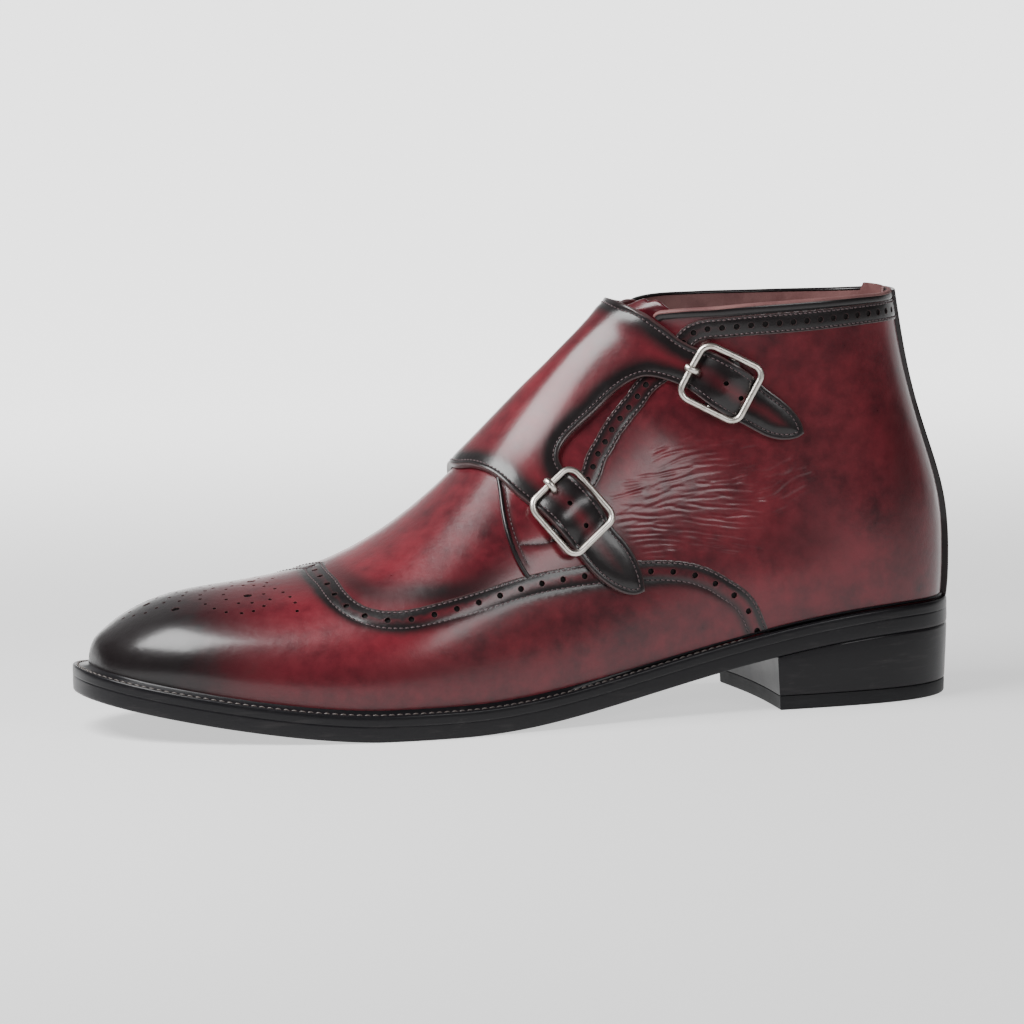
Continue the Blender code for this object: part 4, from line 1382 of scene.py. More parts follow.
@dataclass(frozen=True)
class Edge(Finish):
    """Black waxed edge of stacked leather, with faint layers and scuffs."""

    slot: str = "black_sole_leather"
    colour: Colour = (0.0070, 0.0066, 0.0078)
    worn: Colour = (0.045, 0.040, 0.040)
    rough: float = 0.32
    coat: float = 0.12
    coat_rough: float = 0.2
    specular: float = 0.15
    layers: Noise = Noise(2.1, 2.0, 0.6)
    layers_stretch: Colour = (0.12, 0.12, 1.0)
    scratch: Noise = Noise(1.0, 4.0, 0.7)
    scratch_stretch: Colour = (0.25, 0.25, 2.6)
    cloud: Noise = Noise(9.0, 3.0, 0.6)
    fine: Noise = Noise(0.5, 2.0)
    rubbed: tuple[float, float] = (0.62, 0.86)
    rub_weights: tuple[float, float] = (0.6, 0.5)
    layered: tuple[float, float] = (0.55, 0.8)
    worn_weights: tuple[float, float] = (0.55, 0.22)
    rough_weights: tuple[float, float] = (0.16, 0.18)
    rough_drop: float = 0.08
    relief_weights: Colour = (0.5, 0.3, 0.25)
    relief: float = 0.06

    def paint(self, graph: Graph) -> None:
        """Near black, paler in thin layers and where it is rubbed."""
        place = graph.place()
        layers = graph.noise(graph.place(self.layers_stretch), self.layers)
        scratch = graph.noise(graph.place(self.scratch_stretch), self.scratch)
        cloud = graph.noise(place, self.cloud)
        rub = (scratch * self.rub_weights[0] + cloud * self.rub_weights[1]).step(*self.rubbed)
        tone = graph.tint(self.colour)
        worn = rub * self.worn_weights[0] + layers.step(*self.layered) * self.worn_weights[1]
        tone = tone.mix(self.worn, worn)
        rough = cloud * self.rough_weights[0] + rub * self.rough_weights[1] + (self.rough - self.rough_drop)
        high = self.relief_weights
        height = layers * high[0] + scratch * high[1] + graph.noise(place, self.fine) * high[2]
        graph.surface(
            Base_Color=tone, Roughness=rough, Coat_Weight=self.coat, Coat_Roughness=self.coat_rough,
            Specular_IOR_Level=self.specular, Normal=graph.bump(height, self.relief),
        )


@dataclass(frozen=True)
class Nickel(Finish):
    """Satin nickel plate with fine brushing and a little dirt."""

    slot: str = "nickel_plated_buckle"
    colour: Colour = (0.66, 0.62, 0.57)
    dull: Colour = (0.44, 0.40, 0.355)
    cloud: Noise = Noise(3.2, 3.0, 0.6)
    hair: Noise = Noise(0.35, 3.0, 0.7)
    hair_stretch: Colour = (0.2, 2.5, 2.5)
    hair_weight: float = 0.3
    dulled: tuple[float, float] = (0.55, 0.95)
    rough: float = 0.22
    rough_weights: tuple[float, float] = (0.16, 0.10)
    relief: float = 0.012

    def paint(self, graph: Graph) -> None:
        """Metal with clouds of dullness and hairlines."""
        place = graph.place()
        cloud = graph.noise(place, self.cloud)
        hair = graph.noise(graph.place(self.hair_stretch), self.hair)
        tone = graph.tint(self.colour).mix(self.dull, (cloud + hair * self.hair_weight).step(*self.dulled))
        rough = cloud * self.rough_weights[0] + hair * self.rough_weights[1] + self.rough
        graph.surface(Base_Color=tone, Metallic=1.0, Roughness=rough, Normal=graph.bump(hair, self.relief))


@dataclass(frozen=True)
class Thread(Finish):
    """Waxed thread, with its twist."""

    slot: str = "burgundy_leather"
    colour: Colour = (0.035, 0.020, 0.023)
    pale: Colour = (0.10, 0.060, 0.064)
    strand: Noise = Noise(0.16, 2.0, 0.6)
    paler: tuple[float, float] = (0.42, 0.62)
    rough: float = 0.45
    rough_spread: float = 0.2
    relief: float = 0.04

    def paint(self, graph: Graph) -> None:
        """Dark strands with paler ones between."""
        place = graph.place()
        strand = graph.noise(place, self.strand)
        tone = graph.tint(self.colour).mix(self.pale, strand.step(*self.paler))
        rough = strand * self.rough_spread + (self.rough - self.rough_spread / 2)
        graph.surface(Base_Color=tone, Roughness=rough, Normal=graph.bump(strand, self.relief))


# ---- thread, cords and turned pieces ----

def tube(
    centres: Array, outward: Array, sideways: Array, radii: Array, sides: int = 8, closed: bool = False
) -> tuple[Array, Faces]:
    """Points and faces of tubes with oval sections.

    Args:
        centres: Centres as tube, ring, coordinate.
        outward: Directions of the first half axis, shaped like centres.
        sideways: Directions of the second half axis, shaped like centres.
        radii: The two half axes as tube, ring, pair.
        sides: Points around a ring.
        closed: Whether the last ring meets the first; otherwise the ends are capped.

    Returns:
        Points, and faces as corner numbers.
    """
    tubes, rings = centres.shape[:2]
    angle = np.linspace(0, 2 * math.pi, sides, endpoint=False)
    first = outward[:, :, None] * (radii[:, :, :1, None] * np.cos(angle)[None, None, :, None])
    second = sideways[:, :, None] * (radii[:, :, 1:, None] * np.sin(angle)[None, None, :, None])
    points = (centres[:, :, None] + first + second).reshape(-1, 3)
    number = np.arange(tubes * rings * sides).reshape(tubes, rings, sides)
    nxt = np.roll(number, -1, axis=2)
    last = rings if closed else rings - 1
    faces: Faces = []
    for r in range(last):
        q = (r + 1) % rings
        quads = np.stack([number[:, r], nxt[:, r], nxt[:, q], number[:, q]], -1).reshape(-1, 4)
        faces.extend(map(tuple, quads.tolist()))
    if not closed:
        faces.extend(map(tuple, number[:, 0, ::-1].tolist()))
        faces.extend(map(tuple, number[:, -1].tolist()))
    return points, faces


def directions(points: Array, closed: bool = False) -> Array:
    """Unit directions along a line of points."""
    ahead = np.roll(points, -1, 0) - np.roll(points, 1, 0) if closed else np.gradient(points, axis=0)
    return ahead / np.maximum(np.linalg.norm(ahead, axis=-1, keepdims=True), TINY)


STITCH_RINGS = np.array([-1.0, -0.6, 0.0, 0.6, 1.0])
STITCH_TAPER = 0.3
STITCH_WIDTH = 1.1
STITCH_SIDES = 6


def stitches(centres: Array, outward: Array, radius: float, press: float = 1.0) -> tuple[Array, Faces]:
    """Points and faces of stitches that grow thinner to their ends.

    Args:
        centres: Centres as stitch, ring, coordinate.
        outward: Directions away from the leather, shaped like centres.
        radius: Half of the thread's thickness.
        press: Height of the thread as a share of its thickness.

    Returns:
        Points, and faces as corner numbers.
    """
    ahead = centres[:, -1] - centres[:, 0]
    ahead /= np.linalg.norm(ahead, axis=1, keepdims=True)
    sideways = np.cross(outward, ahead[:, None])
    size = radius * (1 - STITCH_TAPER * STITCH_RINGS**2)
    radii = np.broadcast_to(np.stack([size * press, size * STITCH_WIDTH], -1), (*centres.shape[:2], 2))
    return tube(centres, outward, sideways, radii, STITCH_SIDES)


def sewn(name: str, panel: Panel, finish: Finish) -> bpy.types.Object:
    """Stitches of every row of a panel, as one mesh.

    Args:
        name: Name of the object.
        panel: The panel that carries the rows.
        finish: The thread's finish.

    Returns:
        The object.
    """
    cut = [border.path for border in panel.borders if border.kind is Kind.CUT]
    all_points, all_faces, count = [], [], 0
    for row in panel.rows:
        length = row.path.runs()[-1]
        number = max(1, int(length / row.pitch))
        pitch = length / number
        middle = (np.arange(number) + 0.5) * pitch
        run = middle[:, None] + STITCH_RINGS * (pitch / 2 - row.half_gap)
        places = row.path.at(run.ravel())
        height = panel.heights(panel.ground(places, cut)).reshape(run.shape)
        rise = row.radius * (row.rise - row.dip * np.abs(STITCH_RINGS) ** 3)
        centres = panel.last.raised(*places.T, (height + rise).ravel()).reshape(*run.shape, 3)
        outward = panel.last.normal(*places.T).reshape(centres.shape)
        points, faces = stitches(centres, outward, row.radius)
        all_points.append(points)
        all_faces.extend(tuple(corner + count for corner in face) for face in faces)
        count += len(points)
    thing = mesh_object(name, np.concatenate(all_points), all_faces)
    attributes(thing, {"pit": np.zeros(count)})
    shaded(thing)
    return finish.dress(thing)


CORD_SHARP = 60.0


def cord_on(
    name: str,
    path: Path,
    height: float,
    radii: tuple[float, float],
    finish: Finish,
    step: float = 0.8,
    sides: int = 12,
    burnish: float = 1.2,
) -> bpy.types.Object:
    """Cord of oval section laid along a path.

    Args:
        name: Name of the object.
        path: Its line.
        height: Height of its middle above the last.
        radii: Half axes, the first standing out from the last.
        finish: Its finish.
        step: Distance between its rings.
        sides: Points around a ring.
        burnish: How black it is dyed.

    Returns:
        The object.
    """
    even = path.even(step)
    centres = even.points(height)
    outward = path.last.normal(*even.places.T)
    sideways = np.cross(outward, directions(centres, even.closed))
    size = np.broadcast_to(np.array(radii), (1, len(centres), 2))
    points, faces = tube(centres[None], outward[None], sideways[None], size, sides, even.closed)
    thing = mesh_object(name, points, faces)
    attributes(thing, {"pit": np.zeros(len(points)), "burnish": np.full(len(points), burnish)})
    shaded(thing, CORD_SHARP)
    return finish.dress(thing)


# ---- the upper ----

Knots: TypeAlias = Sequence[tuple[float, float]]


class Crease(NamedTuple):
    """Soft fold in the side view, in millimetres and degrees; a negative depth is a trough."""

    along: float
    up: float
    length: float
    lean: float
    depth: float
    width: float
    bow: float = 0.0


@dataclass(frozen=True)
class Creases:
    """Heights that a table of creases adds to a panel."""

    table: Sequence[Crease]
    side: int = -1
    share: float = 0.68
    ends: tuple[float, float] = (1.2, 0.3)
    shoulder: float = 0.35
    shoulder_at: float = 1.7

    def __call__(self, ground: Ground) -> Array:
        """Sum of the folds at each point."""
        total = np.zeros(len(ground.points))
        own = ground.points[:, 1] * self.side > 0
        points = ground.points[own]
        for crease in self.table:
            x, z = points[:, 0] - crease.along, points[:, 2] - crease.up
            c, s = math.cos(math.radians(crease.lean)), math.sin(math.radians(crease.lean))
            run, off = (x * c + z * s) / (crease.length / 2), z * c - x * s
            off = off - crease.bow * (1 - run**2)
            fade = faded(np.abs(run), *self.ends)
            trough = np.exp(-((off / crease.width) ** 2))
            shoulder = np.exp(-(((np.abs(off) - self.shoulder_at * crease.width) / crease.width) ** 2))
            total[own] += self.share * crease.depth * fade * (trough - self.shoulder * shoulder)
        return total


def punched(path: Path, pitch: float, radius: float) -> list[Hole]:
    """Evenly spaced round holes along a path."""
    length = path.runs()[-1]
    number = int(length / pitch)
    return [Hole(u, t, radius) for u, t in path.at((np.arange(number) + 0.5) * length / number)]


@dataclass(frozen=True)
class WingSizes:
    """Toe cap with wings: its upper stitch row as station and turn, and its depths."""

    height: float = 0.35
    thickness: float = 1.1
    lateral: Knots = (
        (6.06, 0.0), (6.02, -0.122), (6.05, -0.259), (6.11, -0.425), (6.26, -0.538), (6.56, -0.618),
        (6.99, -0.659), (7.65, -0.698), (8.41, -0.737), (9.16, -0.797), (9.97, -0.879),
        (10.51, -0.936), (10.76, -1.016), (10.81, -1.069), (10.79, -1.139), (10.74, -1.21),
    )
    medial: Knots = (
        (6.06, 0.0), (5.93, 0.12), (5.83, 0.22), (5.80, 0.34), (5.86, 0.45), (6.03, 0.55), (6.40, 0.63),
        (7.1, 0.69), (8.0, 0.745), (9.0, 0.80), (9.8, 0.865), (10.25, 0.94), (10.46, 1.05), (10.5, 1.2),
    )
    edge_out: float = 0.9
    row_gap: float = 5.8
    hole_inset: float = 2.9
    hole_radius: float = 1.1
    hole_pitch: float = 7.9
    row_ends: float = 3.0
    lower_ends: float = 5.0
    thread: float = 0.23
    spacing: float = 1.9
    low_step: float = 0.03


@dataclass(frozen=True)
class Medallion:
    """Punched flower on the toe cap: holes as station and turn."""

    small: float = 0.66
    big: float = 1.3
    stretch: float = 1.2
    small_at: Knots = (
        (3.05, 0.020), (3.06, -0.126), (2.79, -0.046), (3.33, -0.183), (3.59, -0.173), (3.77, -0.124),
        (3.92, -0.054), (3.74, 0.057), (4.10, 0.036), (4.24, -0.027), (4.14, -0.089), (4.03, -0.175),
        (4.51, 0.040), (4.51, -0.079), (4.40, -0.140), (4.36, -0.206), (4.40, -0.288), (4.50, -0.355),
        (4.65, -0.407), (4.85, -0.429), (5.01, -0.417), (5.16, -0.376), (5.26, -0.317), (5.22, -0.247),
        (5.28, -0.146), (5.34, -0.099), (5.45, -0.044), (4.65, -0.048), (4.66, 0.049), (4.80, -0.107),
        (4.72, -0.187), (4.72, -0.259), (4.86, -0.321), (5.03, -0.331), (5.17, -0.107), (5.05, -0.081),
        (4.91, -0.060), (4.96, 0.038), (5.31, 0.018), (5.38, -0.202), (5.45, -0.259), (5.50, -0.319),
        (5.53, -0.382), (5.52, -0.456),
    )
    big_at: Knots = ((3.47, -0.015), (3.90, -0.284), (5.02, -0.241), (5.19, -0.027))
    far_side: Knots = (
        (3.33, 0.125), (3.59, 0.125), (4.03, 0.120), (4.36, 0.150), (4.40, 0.235), (4.50, 0.300),
        (4.65, 0.350), (4.85, 0.375), (5.01, 0.362), (5.16, 0.320), (5.24, 0.262), (5.22, 0.192),
        (5.30, 0.095), (4.72, 0.132), (4.72, 0.204), (4.86, 0.266), (5.03, 0.276), (5.40, 0.150),
        (5.45, 0.207), (5.50, 0.267), (5.52, 0.330), (5.50, 0.400),
    )
    big_far: Knots = ((3.90, 0.225), (5.02, 0.185))

    def holes(self) -> list[Hole]:
        """Every hole of the flower, the far side after the near one."""
        made = [Hole(u, t, self.small) for u, t in (*self.small_at, *self.far_side)]
        made.extend(Hole(u, t, self.big, self.stretch) for u, t in (*self.big_at, *self.big_far))
        return made


@dataclass
class ToeCap:
    """Wing tip: cap, punched flower, two stitch rows and the holes between them."""

    last: Last
    finish: Finish
    thread: Finish
    sizes: WingSizes = WingSizes()
    medallion: Medallion = Medallion()
    low: float = 2.0

    def row(self, side: int) -> Path:
        """Upper stitch row of one side, from the peak to the welt."""
        knots = list(self.sizes.lateral if side < 0 else self.sizes.medial)
        station = knots[-1][0] - self.sizes.low_step
        turn = float(self.last.edge_turns(np.array([station]), side, self.low)[0])
        knots.append((station, turn))
        return Path.through(self.last, knots, 1.0)

    def top(self) -> Path:
        """Upper stitch row from the lateral welt over the peak to the medial welt."""
        lateral, medial = self.row(-1).back(), self.row(1)
        return Path(self.last, np.concatenate([lateral.places, medial.places[1:]]))

    def panel(self) -> Panel:
        """The whole cap as one panel."""
        top = self.top()
        edge = top.beside(self.outward() * self.sizes.edge_out)
        ends = self.sizes.lower_ends
        lower = top.beside(-self.outward() * self.sizes.row_gap).even(1.0, ends, -ends)
        centre = top.beside(-self.outward() * self.sizes.hole_inset)
        holes = punched(centre, self.sizes.hole_pitch, self.sizes.hole_radius) + self.medallion.holes()
        first, last = edge.places[[0, -1], 0]
        borders = [
            Border(edge, Kind.CUT),
            Border(self.low_line(last, 0.0, 1), Kind.TUCKED),
            Border(self.fold(), Kind.FOLD),
            Border(self.low_line(0.0, first, -1), Kind.TUCKED),
        ]
        upper = top.even(1.0, self.sizes.row_ends, -self.sizes.row_ends)
        rows = [Row(path, radius=self.sizes.thread) for path in (upper, lower)]
        return Panel(
            "toe_cap", self.last, borders, self.sizes.height, self.sizes.thickness,
            holes=holes, rows=rows, spacing=self.sizes.spacing, two_sided=True,
        )

    def outward(self) -> int:
        """Sign that moves the row towards the ankle."""
        top = self.row(-1)
        return -1 if top.back().beside(1.0).places[0, 0] < top.back().places[0, 0] else 1

    def low_line(self, first: float, last: float, side: int) -> Path:
        """Hidden lower edge between two stations, behind the welt."""
        stations = np.linspace(first, last, int(abs(last - first) * 24))
        turns = self.last.edge_turns(stations, side, self.low)
        return Path(self.last, np.stack([stations, turns], -1))

    def fold(self) -> Path:
        """Line at the toe tip, where both sides meet."""
        turn = float(self.last.edge_turns(np.array([0.0]), 1, self.low)[0])
        turns = np.linspace(turn, 0, 18)
        turns = np.concatenate([turns, -turns[::-1][1:]])
        return Path(self.last, np.stack([np.zeros(len(turns)), turns], -1))

    def build(self) -> list[bpy.types.Object]:
        """Make the cap and its stitches."""
        panel = self.panel()
        cap = panel.build(self.finish)
        return [cap, sewn("toe_cap_stitches", panel, self.thread)]


@dataclass(frozen=True)
class VampSizes:
    """Vamp between the cap and the flap: knots of its piped seams, and its depth."""

    height: float = -0.25
    lateral_seam: Knots = (
        (8.46, -0.24), (8.41, -0.339), (8.29, -0.474), (8.28, -0.632), (8.36, -0.715), (8.39, -0.735),
    )
    medial_seam: Knots = (
        (8.46, 0.24), (8.41, 0.36), (8.34, 0.50), (8.34, 0.64), (8.42, 0.745), (8.48, 0.785),
    )
    rear: Knots = ((8.46, -0.24), (8.95, -0.08), (8.95, 0.08), (8.46, 0.24))
    under_cap: float = 1.6
    seam_clear: float = 0.05
    pipe: tuple[float, float] = (0.85, 0.75)
    pipe_height: float = 0.35


@dataclass
class Vamp:
    """Smooth leather over the ball of the foot, with piping at its seams."""

    last: Last
    finish: Finish
    piping: Finish
    cap: ToeCap
    sizes: VampSizes = VampSizes()

    def seam(self, side: int) -> Path:
        """Piped seam from under the flap down to the wing."""
        knots = self.sizes.lateral_seam if side < 0 else self.sizes.medial_seam
        return Path.through(self.last, knots, 1.0)

    def panel(self) -> Panel:
        """The vamp as one panel, running on under its neighbours."""
        front = self.cap.top().beside(-self.cap.outward() * self.sizes.under_cap)
        keep = front.places[:, 0] < self.seam(-1).places[-1, 0] - self.sizes.seam_clear
        front = Path(self.last, front.places[keep])
        borders = [
            Border(self.seam(-1).back(), Kind.TUCKED),
            Border(Path.through(self.last, self.sizes.rear, 1.2), Kind.TUCKED),
            Border(self.seam(1), Kind.TUCKED),
            Border(front.back(), Kind.TUCKED),
        ]
        return Panel("vamp", self.last, borders, self.sizes.height, two_sided=True, edge_rows=())

    def build(self) -> list[bpy.types.Object]:
        """Make the vamp and its piping."""
        things = [self.panel().build(self.finish)]
        for side, word in ((-1, "lateral"), (1, "medial")):
            s, name = self.sizes, f"vamp_piping_{word}"
            things.append(cord_on(name, self.seam(side), s.pipe_height, s.pipe, self.piping))
        return things


@dataclass(frozen=True)
class QuarterSizes:
    """Sides of the upper behind the vamp: knots of the edges, and their depths."""

    height: float = 0.25
    front: Knots = (
        (8.50, -0.20), (8.44, -0.339), (8.32, -0.474), (8.31, -0.632), (8.40, -0.732), (8.5, -0.758),
    )
    under_wing: Knots = (
        (8.5, -0.758), (9.16, -0.812), (9.92, -0.888), (10.43, -0.941), (10.68, -1.018), (10.74, -1.072),
        (10.72, -1.14), (10.68, -1.20),
    )
    medial_under_wing: Knots = (
        (8.5, -0.79), (9.2, -0.835), (9.8, -0.888), (10.15, -0.958), (10.38, -1.055), (10.42, -1.15),
    )
    throat_row: Knots = (
        (9.10, -0.72), (9.40, -0.67), (9.75, -0.62), (10.14, -0.581), (10.33, -0.552), (10.61, -0.526),
        (10.94, -0.497), (11.30, -0.477), (11.80, -0.460), (12.29, -0.454), (12.91, -0.452), (13.6, -0.47),
        (14.4, -0.51), (15.2, -0.55), (15.8, -0.58), (16.17, -0.604), (16.73, -0.712), (17.00, -0.821),
        (17.21, -0.950), (17.40, -1.149), (17.53, -1.414), (17.58, -1.742), (17.58, -2.0),
    )
    front_row: Knots = (
        (8.55, -0.26), (8.50, -0.345), (8.39, -0.474), (8.37, -0.60), (8.43, -0.69),
    )
    short_row: Knots = ((8.37, -0.615), (8.57, -0.640), (8.79, -0.665), (9.05, -0.68))
    throat: Knots = (
        (8.50, -0.20), (9.5, -0.27), (11.0, -0.20), (13.0, -0.17), (15.0, -0.20), (16.2, -0.30),
        (17.04, -0.415),
    )
    top: Knots = (
        (17.04, -0.415), (17.30, -0.43), (17.46, -0.46), (17.69, -0.585), (17.79, -0.717), (17.88, -0.854),
        (17.92, -0.983), (17.94, -1.108), (17.95, -1.256), (17.95, -1.449), (17.94, -1.60), (17.94, -1.722),
        (17.95, -1.855), (17.96, -2.0),
    )
    medial_top: Knots = (
        (17.04, -0.415), (17.45, -0.45), (17.74, -0.52), (17.83, -0.62), (17.84, -0.78), (17.84, -0.93),
        (17.84, -1.06), (17.85, -1.2), (17.86, -1.342), (17.88, -1.518), (17.91, -1.695), (17.94, -1.85),
        (17.96, -2.0),
    )
    sunk: float = 0.2
    spacing: float = 1.9
    seam_pitch: float = 1.7
    seam_thread: float = 0.19
    band: float = 5.3
    band_pitch: float = 1.75
    band_row_ends: tuple[float, float] = (0.6, -0.4)
    band_spacing: float = 1.6
    band_round: float = 0.5
    band_drop: float = 0.3
    band_pit: float = 0.5
    band_up: float = 0.4
    band_edge: float = 0.85
    band_thickness: float = 0.75
    band_end: float = 19.0
    facing: tuple[float, float] = (11.0, 13.0)
    hole_radius: float = 1.08
    hole_pitch: float = 4.85
    hole_ends: float = 2.5
    trim: tuple[float, float] = (1.35, 0.75)
    trim_height: float = -0.75
    binding: float = 2.3
    binding_from: float = 0.1
    binding_up: float = 0.38
    binding_round: float = 0.3
    binding_inner: float = -0.6


@dataclass
class Quarter:
    """One side of the upper behind the vamp, its facing and collar band, and the collar's edge."""

    last: Last
    side: int
    finish: Finish
    band_finish: Finish
    thread: Finish
    trim: Finish
    edge: Finish
    sizes: QuarterSizes = QuarterSizes()
    reliefs: Sequence[Relief] = ()
    fine: Callable[[Array], Array] | None = None
    low: float = 2.0

    @property
    def word(self) -> str:
        """Name of this side."""
        return "lateral" if self.side < 0 else "medial"

    def path(self, knots: Knots, step: float = 1.0) -> Path:
        """Path through knots given for the lateral side, on this quarter's side."""
        return Path.through(self.last, [(u, -self.side * t) for u, t in knots], step)

    def top(self) -> Path:
        """The collar's edge on this side."""
        return self.path(self.sizes.top if self.side < 0 else self.sizes.medial_top)

    def rear(self, first: float, last: float) -> Path:
        """Line up the back of the heel."""
        stations = np.linspace(first, last, max(3, int((last - first) * 20)))
        return Path(self.last, np.stack([stations, np.full(len(stations), 2.0 * self.side)], -1))

    def low_line(self, first: float, last: float) -> Path:
        """Hidden lower edge from a station to the back of the heel."""
        stations = last - (last - first) * np.cos(np.linspace(0, math.pi / 2, 130))
        turns = self.last.edge_turns(stations, self.side, self.low)
        turns[-1] = 2.0 * self.side
        return Path(self.last, np.stack([stations, turns], -1))

    def body(self) -> Panel:
        """The quarter itself, up to the stitched edge of the band."""
        wing = self.sizes.under_wing if self.side < 0 else self.sizes.medial_under_wing
        heel = self.last.heel_station(self.low)
        foot = float(self.last.edge_turns(np.array([wing[-1][0]]), self.side, self.low)[0])
        under_wing = self.path((*wing, (wing[-1][0], -self.side * foot)))
        borders = [
            Border(self.path((*self.sizes.front[:-1], wing[0])), Kind.TUCKED),
            Border(under_wing, Kind.TUCKED),
            Border(self.low_line(wing[-1][0], heel), Kind.TUCKED),
            Border(self.rear(heel, self.sizes.top[-1][0]), Kind.TUCKED),
            Border(self.top().back(), Kind.TUCKED),
            Border(self.path(self.sizes.throat).back(), Kind.TUCKED),
        ]
        height = self.sizes.height - self.sizes.sunk
        seams = (self.path(knots) for knots in (self.sizes.front_row, self.sizes.short_row))
        rows = [Row(seam, self.sizes.seam_pitch, self.sizes.seam_thread) for seam in seams]
        return Panel(
            f"quarter_{self.word}", self.last, borders, height, reliefs=self.reliefs,
            rows=rows, spacing=self.sizes.spacing, fine=self.fine, edge_rows=(),
        )

    def band(self) -> Panel:
        """Perforated band along the throat and the collar, laid over the quarter."""
        s = self.sizes
        row = self.path(s.throat_row)
        sign = self.outward(row)
        edge = row.beside(-sign * s.band_edge)
        inner = row.beside(sign * s.band)
        inner = Path(self.last, inner.places[inner.places[:, 0] < s.band_end])
        outer_edge = row.beside(sign * (s.band + s.band_edge))
        centre = row.beside(sign * s.band / 2).even(1.0, s.hole_ends, -s.hole_ends)
        holes = punched(centre, s.hole_pitch, s.hole_radius)
        borders = [
            Border(edge, Kind.CUT),
            Border(self.link(edge.places[-1], outer_edge.places[-1]), Kind.TUCKED),
            Border(outer_edge.back(), Kind.CUT),
            Border(self.link(outer_edge.places[0], edge.places[0]), Kind.TUCKED),
        ]
        rows = [Row(path.even(1.0, *s.band_row_ends), s.band_pitch) for path in (row, inner)]
        return Panel(
            f"collar_band_{self.word}", self.last, borders, s.height + s.band_up, s.band_thickness,
            holes=holes, rows=rows, spacing=s.band_spacing, edge_drop=s.band_drop, edge_round=s.band_round,
            pit=s.band_pit,
        )

    def outward(self, row: Path) -> int:
        """Sign that moves the band's row towards the throat."""
        low, high = self.sizes.facing
        place = row.places[(row.places[:, 0] > low) & (row.places[:, 0] < high)]
        moved = Path(self.last, place).beside(1.0).places
        return 1 if np.abs(moved[:, 1]).mean() < np.abs(place[:, 1]).mean() else -1

    def link(self, first: Array, last: Array) -> Path:
        """Short straight border between two places."""
        share = np.linspace(0, 1, 8)[:, None]
        return Path(self.last, first + (last - first) * share)

    def build(self) -> list[bpy.types.Object]:
        """Make the quarter, its band, the stitches and the collar's edge."""
        body, band, s = self.body(), self.band(), self.sizes
        return [
            body.build(self.finish),
            band.build(self.band_finish),
            sewn(f"collar_band_stitches_{self.word}", band, self.thread),
            sewn(f"vamp_seam_stitches_{self.word}", body, self.thread),
            cord_on(f"collar_edge_{self.word}", self.top(), s.trim_height, s.trim, self.edge),
            self.binding(),
        ]

    def binding(self) -> bpy.types.Object:
        """Black strip folded over the collar, just below its edge."""
        top, s = self.top(), self.sizes
        sign = 1 if top.beside(1.0).places[:, 0].mean() < top.places[:, 0].mean() else -1
        even = top.even(1.0)
        reach = np.linspace(s.binding_from, s.binding, 7)
        lines = [even.beside(sign * r) for r in reach]
        count = min(len(line.places) for line in lines)
        marks = np.linspace(0, 1, count)
        places = np.stack([line.at(marks * line.runs()[-1]) for line in lines], 1)
        part = np.abs(reach / s.binding * 2 - 1)
        outer = np.broadcast_to(s.height + s.binding_up - s.binding_round * part**4, places.shape[:2])
        inner = np.full(places.shape[:2], s.binding_inner)
        return Ribbon(self.last, f"collar_binding_{self.word}", places, outer, inner).build(self.trim)


@dataclass(frozen=True)
class StrapSizes:
    """A strap along a line in the side view, through the middle of its buckle."""

    name: str
    along: float
    up: float
    slope: float
    half_width: float
    holes: Knots = ()
    frame_turn: float = 0.0
    frame_shift: tuple[float, float] = (0.0, 0.0)

    def side_view(self, run: Array, across: Array) -> Array:
        """Side view places at distances towards the tail and across the strap."""
        c, s = math.cos(self.slope), math.sin(self.slope)
        return np.stack([self.along - run * c - across * s, self.up - run * s + across * c], -1)

    def own(self, points: Array) -> tuple[Array, Array]:
        """Distances towards the tail and across, of points in shoe millimetres."""
        c, s = math.cos(self.slope), math.sin(self.slope)
        x, z = points[..., 0] - self.along, points[..., 2] - self.up
        return -(x * c + z * s), -x * s + z * c

    def place(self, last: Last, run: Array, across: Array) -> Array:
        """Places on the last at distances along and across the strap."""
        side = self.side_view(np.asarray(run, float), np.asarray(across, float))
        return last.from_side(side[..., 0], side[..., 1])


STRAPS = (
    StrapSizes(
        "upper", 87.6, 112.0, math.radians(32.3), 8.2, ((0.9, 1.4), (7.9, -0.6)), math.radians(4.5),
        (-0.4, 0.5),
    ),
    StrapSizes("lower", 141.6, 72.6, math.radians(51.5), 8.2, ((-0.9, -0.5), (7.6, -0.8)), 0.0, (1.6, -1.3)),
)


